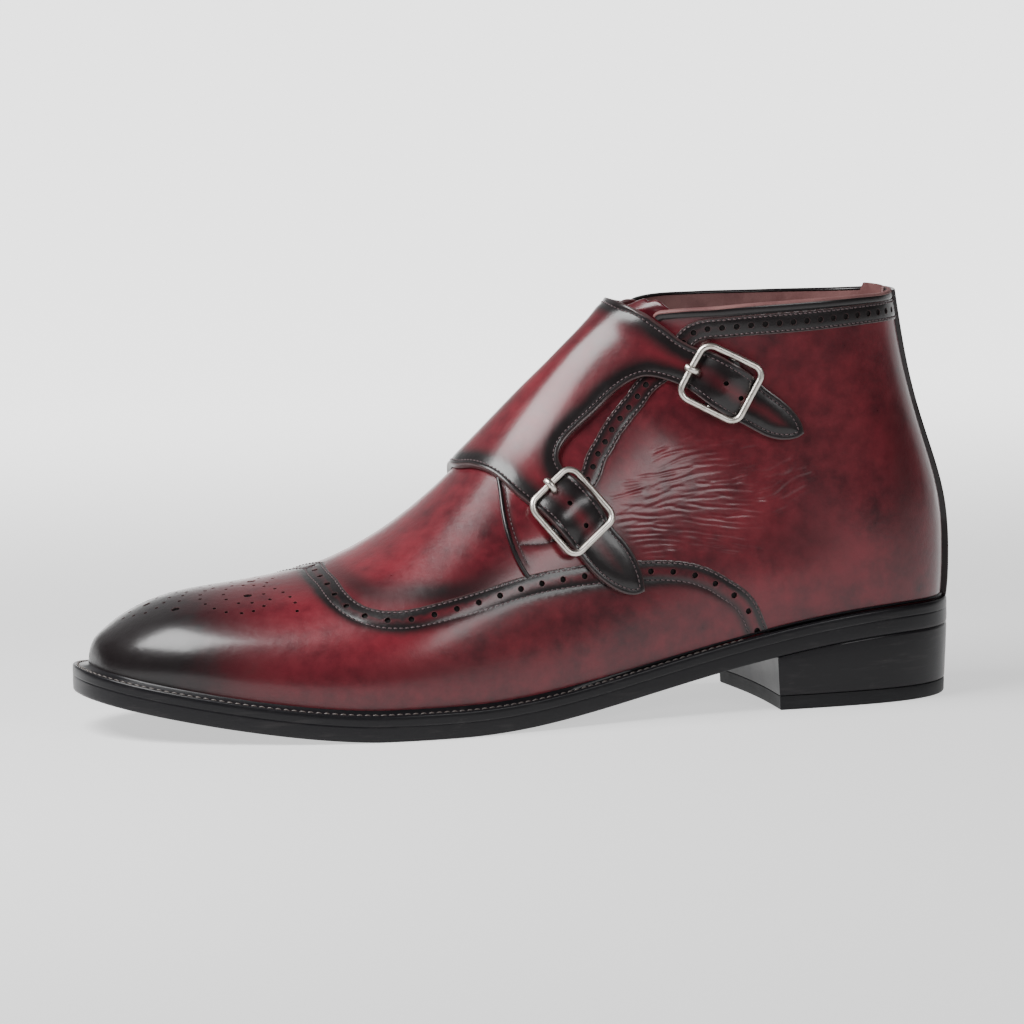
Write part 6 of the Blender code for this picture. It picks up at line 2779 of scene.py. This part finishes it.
@dataclass(frozen=True)
class View:
    """Where the camera stands, in millimetres and degrees."""

    azimuth: float = -14.2
    elevation: float = 7.6
    distance: float = 1858.0
    target: Colour = (-119.3, 0.0, 68.0)
    focal: float = 5447.0
    frame_width: float = 1024.0
    sensor: float = 36.0
    roll: float = -0.70

    def build(self) -> bpy.types.Object:
        """Make the scene's camera."""
        a, e = math.radians(self.azimuth), math.radians(self.elevation)
        back = Vector((math.sin(a) * math.cos(e), -math.cos(a) * math.cos(e), math.sin(e)))
        data = bpy.data.cameras.new("camera")
        data.sensor_width = self.sensor
        data.lens = self.focal / self.frame_width * self.sensor
        data.clip_start, data.clip_end = 0.1, 50.0
        camera = bpy.data.objects.new("camera", data)
        bpy.context.scene.collection.objects.link(camera)
        turn = (-back).to_track_quat("-Z", "Y").to_matrix().to_4x4()
        roll = Matrix.Rotation(math.radians(self.roll), 4, "Z")
        place = (Vector(self.target) + back * self.distance) * MM
        camera.matrix_world = Matrix.Translation(place) @ turn @ roll
        bpy.context.scene.camera = camera
        return camera


class Lamp(NamedTuple):
    """Softbox: where it stands and looks, in metres, with its size and power in watts."""

    name: str
    at: Colour
    towards: Colour
    size: tuple[float, float]
    power: float
    colour: Colour = (1.0, 1.0, 1.0)


@dataclass(frozen=True)
class Studio:
    """Pale floor that sweeps up to a pale wall, under soft lamps; the sweep itself glows as painted light."""

    lamps: tuple[Lamp, ...] = (
        Lamp("key", (-0.55, -0.11, 0.58), (-0.16, 0.0, 0.07), (0.47, 0.36), 11.2),
        Lamp("front_right", (0.34, -0.94, 0.54), (-0.10, 0.0, 0.05), (0.60, 0.24), 4.1),
    )
    ground: Colour = (0.42, 0.42, 0.42)
    glow: float = 0.90
    glow_behind: float = 2.6
    glow_reach: tuple[float, float] = (0.15, 0.95)
    glow_centre: float = 0.15
    dim: float = 0.10
    dim_above: tuple[float, float] = (0.31, 0.70)
    glow_width: tuple[float, float] = (0.50, 1.15)
    world: float = 0.05
    half_width: float = 4.0
    front: float = 0.51
    bend_from: float = 1.3
    bend_radius: float = 1.2
    wall_top: float = 4.0

    def sweep(self) -> list[tuple[float, float]]:
        """Section of the floor and wall."""
        start, radius = self.bend_from, self.bend_radius
        angles = np.linspace(0, math.pi / 2, 25)
        bend = [(start + radius * math.sin(a), radius * (1 - math.cos(a))) for a in angles]
        return [(-self.front, 0.0), (0.0, 0.0), *bend, (start + radius, self.wall_top)]

    def build(self) -> None:
        """Make floor, lamps and world."""
        self.floor()
        for lamp in self.lamps:
            self.light(lamp)
        world = bpy.data.worlds.new("studio")
        world.use_nodes = True
        inputs = world.node_tree.nodes["Background"].inputs
        inputs[0].default_value = (1, 1, 1, 1)
        inputs[1].default_value = self.world
        bpy.context.scene.world = world

    def paper(self) -> bpy.types.Material:
        """The floor's material, whose painted glow is brightest behind the shoe and dims high on the wall."""
        graph = Graph("studio_floor")
        place = graph.node("ShaderNodeSeparateXYZ", {}, {0: graph.place((MM, MM, MM))}).outputs
        # Painted light: the emission rises behind the shoe, falls off to the sides and dims above.
        aside = (Wire(graph, place["X"]) - self.glow_centre).math("ABSOLUTE")
        share = Wire(graph, place["Y"]).step(*self.glow_reach) * (1.0 - aside.step(*self.glow_width))
        near = (self.glow / self.glow_behind,) * 3
        shine = graph.tint(near).mix((1.0, 1.0, 1.0), share)
        shine = shine.mix((self.dim,) * 3, Wire(graph, place["Z"]).step(*self.dim_above))
        graph.surface(
            Base_Color=self.ground, Roughness=0.9, Specular_IOR_Level=0.1,
            Emission_Color=shine, Emission_Strength=self.glow_behind,
        )
        return graph.material

    def floor(self) -> None:
        """Make the floor and wall, square to the camera."""
        paper = self.paper()
        section = self.sweep()
        turn = math.radians(View().azimuth)
        c, n = math.cos(turn), math.sin(turn)
        aim = View().target[0] * MM
        flat = [(x, y, z) for y, z in section for x in (-self.half_width, self.half_width)]
        points = [(aim + x * c - y * n, x * n + y * c, z) for x, y, z in flat]
        faces = [(2 * i, 2 * i + 1, 2 * i + 3, 2 * i + 2) for i in range(len(section) - 1)]
        mesh = bpy.data.meshes.new("studio_floor")
        mesh.from_pydata(points, [], faces)
        mesh.shade_smooth()
        floor = bpy.data.objects.new("studio_floor", mesh)
        mesh.materials.append(paper)
        bpy.context.scene.collection.objects.link(floor)

    def light(self, lamp: Lamp) -> None:
        """Make one softbox."""
        data = bpy.data.lights.new(lamp.name, "AREA")
        data.shape = "RECTANGLE"
        data.size, data.size_y = lamp.size
        data.energy = lamp.power
        data.color = lamp.colour
        thing = bpy.data.objects.new(lamp.name, data)
        look = (Vector(lamp.towards) - Vector(lamp.at)).to_track_quat("-Z", "Y")
        thing.matrix_world = Matrix.Translation(Vector(lamp.at)) @ look.to_matrix().to_4x4()
        bpy.context.scene.collection.objects.link(thing)


WRINKLES = tuple(Crease(*row) for row in (
    (98.4, 94.8, 6.0, -20, -0.07, 0.42, -0.07), (110.7, 87.4, 4.1, -24, -0.06, 0.41, -0.07),
    (105.1, 89.1, 10.6, -13, -0.11, 0.56, 0.19), (98.6, 90.3, 5.9, -6, -0.07, 0.51, -0.16),
    (106.6, 85.6, 11.5, -22, -0.06, 0.42, -0.2), (97.7, 88.1, 11.6, -10, -0.11, 0.57, 0.21),
    (91.1, 89.1, 5.1, -6, -0.11, 0.44, -0.13), (114.7, 81.8, 9.6, -6, -0.09, 0.55, 0.25),
    (106.8, 82.9, 10.5, -10, -0.11, 0.42, 0.07), (100.3, 84.1, 6.0, -10, -0.1, 0.5, -0.23),
    (118.8, 80.4, 9.5, -2, -0.08, 0.42, 0.3), (105.6, 80.2, 9.6, -10, -0.11, 0.51, -0.14),
    (97.6, 81.5, 10.6, -10, -0.11, 0.51, 0.27), (90.6, 82.7, 7.2, -8, -0.11, 0.5, -0.06),
    (94.2, 85.3, 9.3, -2, -0.09, 0.49, -0.24), (86.9, 85.5, 8.8, -2, -0.07, 0.56, -0.32),
    (79.7, 86.7, 9.5, -15, -0.05, 0.53, -0.15), (125.3, 75.6, 6.2, -10, -0.09, 0.49, -0.11),
    (119.1, 77.0, 9.8, -15, -0.12, 0.44, -0.06), (112.3, 78.6, 7.7, -10, -0.06, 0.53, -0.16),
    (119.6, 71.0, 9.7, -7, -0.07, 0.55, -0.13), (112.7, 72.4, 7.8, -16, -0.09, 0.58, -0.28),
    (107.1, 73.7, 6.6, -12, -0.05, 0.45, 0.19), (101.0, 74.7, 9.0, -7, -0.09, 0.45, -0.12),
    (120.7, 72.6, 7.8, -1, -0.06, 0.49, -0.32), (122.3, 69.2, 8.7, -2, -0.1, 0.58, 0.32),
    (114.8, 69.0, 10.2, 5, -0.1, 0.59, -0.34), (106.6, 68.8, 10.2, -4, -0.07, 0.59, 0.19),
    (122.5, 67.2, 7.7, -8, -0.08, 0.59, 0.08), (115.1, 67.5, 10.8, 2, -0.11, 0.46, -0.22),
    (118.2, 65.2, 10.9, -2, -0.08, 0.43, -0.08), (110.9, 64.8, 7.4, 9, -0.12, 0.47, -0.34),
    (100.9, 66.6, 7.3, 10, -0.05, 0.43, 0.2), (94.7, 65.7, 8.3, 8, -0.08, 0.46, -0.28),
    (87.1, 64.5, 11.1, 9, -0.12, 0.48, -0.2), (77.4, 63.8, 13.1, 0, -0.05, 0.41, -0.23),
    (116.1, 63.2, 13.6, 0, -0.1, 0.43, -0.32), (116.8, 61.0, 10.9, -3, -0.08, 0.45, 0.35),
    (107.8, 60.7, 11.8, 6, -0.06, 0.51, 0.19), (102.2, 63.5, 10.2, 7, -0.08, 0.6, -0.02),
    (93.5, 62.2, 11.8, 10, -0.07, 0.48, -0.32), (84.4, 60.3, 11.4, 13, -0.08, 0.45, 0.27),
    (95.5, 71.6, 11.2, 10, -0.11, 0.5, -0.33), (86.8, 70.6, 10.9, 3, -0.07, 0.45, -0.2),
    (77.1, 70.2, 13.3, 1, -0.07, 0.57, -0.25), (97.9, 76.1, 10.4, -6, -0.05, 0.59, 0.05),
    (89.0, 76.6, 11.7, 0, -0.12, 0.48, 0.28), (80.3, 76.1, 10.1, 6, -0.1, 0.56, 0.17),
    (89.2, 79.9, 10.9, -2, -0.08, 0.42, -0.2), (82.0, 80.8, 7.4, -15, -0.11, 0.58, 0.3),
    (75.3, 82.1, 9.7, -7, -0.07, 0.53, 0.21), (69.2, 83.3, 6.7, -30, -0.09, 0.56, 0.02),
    (64.6, 85.7, 6.3, -23, -0.1, 0.54, -0.16), (60.5, 87.5, 5.0, -24, -0.11, 0.59, -0.3),
    (66.8, 76.1, 6.3, -40, -0.12, 0.59, 0.12), (63.0, 78.8, 5.3, -29, -0.05, 0.58, -0.26),
    (57.0, 81.1, 10.8, -18, -0.12, 0.53, -0.31), (70.7, 80.0, 8.2, -9, -0.06, 0.53, 0.05),
    (64.9, 81.9, 7.5, -27, -0.1, 0.59, -0.2), (59.8, 86.6, 7.4, -9, -0.05, 0.58, -0.34),
    (73.5, 75.5, 7.3, -15, -0.11, 0.42, 0.22), (68.2, 77.9, 7.5, -33, -0.1, 0.58, 0.04),
    (113.3, 57.1, 9.6, -2, -0.11, 0.44, 0.12), (106.3, 57.6, 7.9, -7, -0.07, 0.58, 0.19),
    (83.1, 57.5, 7.5, 15, -0.08, 0.51, -0.33), (77.4, 56.1, 7.1, 13, -0.05, 0.52, -0.01),
    (94.7, 59.8, 8.9, 12, -0.11, 0.52, -0.25), (103.5, 70.8, 9.0, 10, -0.08, 0.55, 0.02),
    (97.1, 70.2, 7.4, -1, -0.05, 0.57, 0.23), (81.1, 72.9, 8.7, -2, -0.06, 0.51, -0.08),
    (74.4, 72.6, 8.1, 7, -0.11, 0.46, -0.19), (112.9, 74.8, 6.7, -13, -0.08, 0.59, -0.28),
    (106.7, 76.2, 9.2, -11, -0.06, 0.52, 0.27), (90.8, 67.7, 8.7, 8, -0.09, 0.49, 0.25),
    (83.2, 67.3, 10.4, -1, -0.1, 0.41, 0.27), (102.4, 86.6, 9.2, -12, -0.06, 0.46, 0.24),
    (86.9, 74.6, 8.7, 10, -0.08, 0.56, -0.23), (78.7, 83.6, 8.4, -12, -0.11, 0.44, -0.25),
    (68.4, 68.5, 8.3, -22, -0.08, 0.47, 0.03), (61.8, 75.3, 6.5, -24, -0.11, 0.54, -0.35),
    (112.6, 76.8, 6.7, -9, -0.07, 0.51, -0.01), (94.8, 78.9, 5.8, 2, -0.1, 0.5, -0.3),
    (79.0, 78.5, 7.4, 8, -0.07, 0.57, -0.1), (117.6, 76.9, 5.9, -7, -0.1, 0.6, 0.09),
    (113.3, 77.6, 5.1, -13, -0.1, 0.52, -0.13), (104.3, 77.6, 6.1, -10, -0.11, 0.49, 0.29),
    (96.3, 82.7, 7.5, -10, -0.07, 0.57, 0.2), (91.1, 83.7, 5.9, -11, -0.09, 0.49, -0.25),
    (98.6, 73.8, 8.9, -3, -0.1, 0.47, 0.11), (91.6, 74.2, 8.8, -3, -0.06, 0.42, -0.25),
    (119.1, 71.6, 6.6, -9, -0.11, 0.44, 0.28), (111.8, 71.3, 7.3, -8, -0.08, 0.52, -0.1),
    (106.8, 71.9, 5.2, -4, -0.09, 0.42, -0.07), (116.2, 66.5, 7.3, 1, -0.12, 0.44, 0.11),
    (109.7, 66.1, 8.8, 5, -0.07, 0.46, -0.33), (96.7, 67.5, 5.7, 10, -0.05, 0.59, 0.23),
    (91.0, 66.5, 8.9, 10, -0.11, 0.56, 0.32), (83.8, 65.5, 9.1, 6, -0.06, 0.52, -0.0),
    (114.8, 59.4, 8.6, -1, -0.09, 0.59, 0.18), (107.8, 59.1, 9.0, 6, -0.12, 0.42, 0.11),
    (99.5, 61.5, 8.8, 9, -0.1, 0.55, 0.08), (92.5, 60.2, 9.1, 11, -0.11, 0.46, 0.3),
    (97.1, 58.6, 8.8, 8, -0.08, 0.52, 0.28), (90.7, 57.6, 7.5, 9, -0.1, 0.46, -0.19),
    (79.1, 67.4, 8.7, 7, -0.07, 0.53, 0.35), (77.5, 69.1, 8.1, 6, -0.11, 0.48, -0.07),
    (82.9, 71.7, 10.2, 3, -0.11, 0.46, -0.06), (76.0, 71.2, 7.1, 4, -0.05, 0.44, 0.03),
    (73.5, 73.0, 7.4, -12, -0.1, 0.52, -0.09), (69.1, 74.6, 4.5, -32, -0.12, 0.52, -0.24),
    (69.7, 78.2, 6.1, -33, -0.05, 0.59, 0.34), (65.9, 80.6, 5.1, -31, -0.11, 0.52, -0.13),
    (66.8, 83.8, 6.8, -30, -0.06, 0.45, -0.19), (63.5, 81.1, 6.4, -22, -0.11, 0.58, 0.19),
    (59.0, 82.8, 5.7, -20, -0.06, 0.45, -0.14), (73.9, 81.5, 6.1, -12, -0.12, 0.43, 0.2),
    (81.5, 78.9, 7.3, -10, -0.1, 0.51, 0.32), (76.2, 80.1, 6.3, -16, -0.07, 0.5, -0.24),
    (87.6, 78.7, 6.6, -1, -0.06, 0.41, -0.13), (103.2, 90.9, 6.2, -18, -0.06, 0.41, 0.34),
    (94.0, 93.6, 5.8, -6, -0.07, 0.58, 0.14), (90.0, 91.7, 7.1, -3, -0.1, 0.53, 0.32),
    (84.9, 92.2, 5.6, -8, -0.11, 0.54, 0.04), (89.2, 87.2, 7.2, -1, -0.1, 0.54, 0.04),
    (83.0, 85.0, 8.7, -10, -0.09, 0.43, 0.24), (106.9, 81.5, 7.6, -8, -0.08, 0.41, -0.23),
    (56.4, 83.0, 8.0, -18, -0.11, 0.45, -0.08), (65.3, 73.2, 6.6, -23, -0.1, 0.57, -0.12),
    (119.8, 78.9, 7.5, -6, -0.08, 0.48, -0.33), (108.5, 57.5, 7.6, 9, -0.11, 0.4, 0.32),
    (94.3, 56.4, 10.3, 4, -0.06, 0.43, 0.24), (86.7, 55.5, 8.9, 11, -0.11, 0.45, 0.04),
    (112.0, 55.8, 8.8, 2, -0.08, 0.54, -0.22), (109.1, 90.2, 6.1, -17, -0.11, 0.6, 0.14),
    (78.9, 90.1, 7.4, -10, -0.11, 0.59, -0.08),
))


WRINKLED_STATIONS = (9.6, 13.9)
WRINKLED_TURNS = (0.56, 0.97)


def wrinkled(places: Array) -> Array:
    """Places where the quarters crease finely, and points stand closer."""
    station, turn = places[:, 0], np.abs(places[:, 1])
    (first, last), (low, high) = WRINKLED_STATIONS, WRINKLED_TURNS
    return (station > first) & (station < last) & (turn > low) & (turn < high)


CAP_LEATHER = Leather(
    "toe_cap_leather", base=0.06, row_weight=0.70, row_reach=2.3, edge_width=1.8, edge_weight=0.7,
    patches=(
        Patch(302.0, 34.0, 46.0, 40.0, 1.25), Patch(240.0, 60.0, 30.0, 9.0, 0.5),
        Patch(213.0, 44.0, 16.0, 5.0, 0.55, 0.25), Patch(150.0, 46.0, 34.0, 4.0, 0.25),
        Patch(190.0, 22.0, 40.0, 5.0, 0.30), Patch(118.0, 44.0, 14.0, 5.0, 0.2),
    ),
    reds=(Patch(236.0, 42.0, 14.0, 9.0, 0.45), Patch(205.0, 34.0, 22.0, 7.0, 0.3)),
)
VAMP_LEATHER = Leather(
    "vamp_leather",
    patches=(
        Patch(215.0, 50.0, 9.0, 5.0, 0.55, 0.5), Patch(192.0, 47.5, 17.0, 4.5, 0.8),
        Patch(172.0, 52.0, 12.0, 5.5, 0.5, -0.2), Patch(180.0, 92.0, 14.0, 7.0, 0.25),
    ),
    reds=(Patch(203.0, 55.0, 12.0, 5.0, 0.75), Patch(205.0, 66.0, 24.0, 12.0, 0.2)),
)
QUARTER_LEATHER = Leather(
    "quarter_leather", base=0.03, row_weight=0.6, row_reach=1.1,
    patches=(
        Patch(56.0, 137.4, 44.0, 3.6, 1.3, math.radians(-2.0)), Patch(22.0, 78.0, 7.5, 46.0, 0.42),
        Patch(7.0, 70.0, 6.0, 60.0, 0.35), Patch(96.0, 100.0, 8.0, 8.0, 0.3),
        Patch(52.0, 60.0, 12.0, 26.0, 0.18), Patch(147.0, 52.0, 9.0, 6.0, 0.35),
        Patch(40.0, 28.0, 40.0, 6.0, 0.22), Patch(66.0, 58.0, 16.0, 9.0, 0.25),
    ),
    reds=(Patch(70.0, 44.0, 20.0, 10.0, 0.35), Patch(52.0, 112.0, 24.0, 12.0, 0.25)),
)
BAND_LEATHER = Leather(
    "band_leather", base=0.44, row_weight=0.55, row_reach=1.6,
    patches=(Patch(50.0, 133.0, 40.0, 6.0, 0.8, math.radians(-3.0)),),
)
FLAP_LEATHER = Leather(
    "flap_leather", edge_width=6.8, edge_weight=1.2, row_weight=0.25, row_reach=1.2,
    patches=(
        Patch(141.6, 72.6, 8.5, 8.5, 0.30), Patch(87.6, 112.0, 8.5, 8.5, 0.22),
        Patch(126.0, 54.0, 8.0, 8.0, 0.3),
    ),
    reds=(
        Patch(85.0, 108.5, 4.0, 3.5, 0.9), Patch(139.0, 69.0, 3.5, 3.5, 0.9),
        Patch(72.0, 101.0, 8.0, 5.0, 0.9), Patch(100.0, 119.0, 8.0, 4.0, 0.6),
        Patch(140.0, 105.0, 14.0, 14.0, 0.25),
    ),
)
STRIP_LEATHER = Leather("back_strip_leather", base=0.85)
TONGUE_LEATHER = Leather("tongue_leather", base=0.15)
PIPING = Leather("piping_leather", base=1.2)
LINING = Suede("lining_leather", "brown_lining_leather")
INSOLE = Suede("insole_leather", "tan_insole_leather", (0.22, 0.11, 0.065), (0.32, 0.17, 0.10))
SOLE_EDGE = Edge("sole_edge")
RUBBER = Edge("top_lift_rubber", "black_top_lift_rubber", (0.010, 0.010, 0.011), (0.03, 0.03, 0.03), 0.5, 0.0)
NICKEL = Nickel("satin_nickel")
DARK_THREAD = Thread("dark_thread")
WELT_THREAD = Thread("welt_thread", "black_sole_leather", (0.055, 0.047, 0.043), (0.12, 0.10, 0.09))


def main() -> None:
    """Build every piece in order."""
    last = Last(SoleSizes())
    View().build()
    Studio().build()
    cap = ToeCap(last, CAP_LEATHER, DARK_THREAD)
    vamp = Vamp(last, VAMP_LEATHER, PIPING, cap)
    lateral = Quarter(
        # The lateral collar edge is dressed in the pale lining finish as a painted highlight on its folded
        # edge; the medial edge is black piping.
        last, -1, QUARTER_LEATHER, BAND_LEATHER, DARK_THREAD, PIPING, LINING,
        reliefs=(Creases(WRINKLES),), fine=wrinkled,
    )
    medial = Quarter(last, 1, QUARTER_LEATHER, BAND_LEATHER, DARK_THREAD, PIPING, PIPING)
    made: list[tuple[list[bpy.types.Object], tuple[str, ...]]] = [
        (cap.build(), ()),
        (vamp.build(), ("vamp",)),
        (lateral.build(), ("quarter_lateral",)),
        (medial.build(), ("quarter_medial",)),
        (Flap(last, FLAP_LEATHER, DARK_THREAD).build(), ("strap_flap",)),
        (BackStrip(last, STRIP_LEATHER).build(), ()),
        (Inside(last, LINING, TONGUE_LEATHER, INSOLE).build(), ("tongue", "insole")),
        (Bottom(last, SOLE_EDGE, RUBBER, WELT_THREAD).build(), ("outsole", "welt", "heel_stack", "top_lift")),
    ]
    for strap in STRAPS:
        nodes = tuple(f"{kind}_{strap.name}" for kind in ("buckle_frame", "prong", "buckle_tab"))
        made.append((Buckle(last, strap, NICKEL, PIPING).build(), nodes))
    for things, nodes in made:
        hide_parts(*nodes)
        for thing in things:
            LOG.info("%s: %d faces", thing.name, len(thing.data.polygons))


if __name__ == "__main__":
    logging.basicConfig(level=logging.INFO, format="%(name)s: %(message)s")
    main()
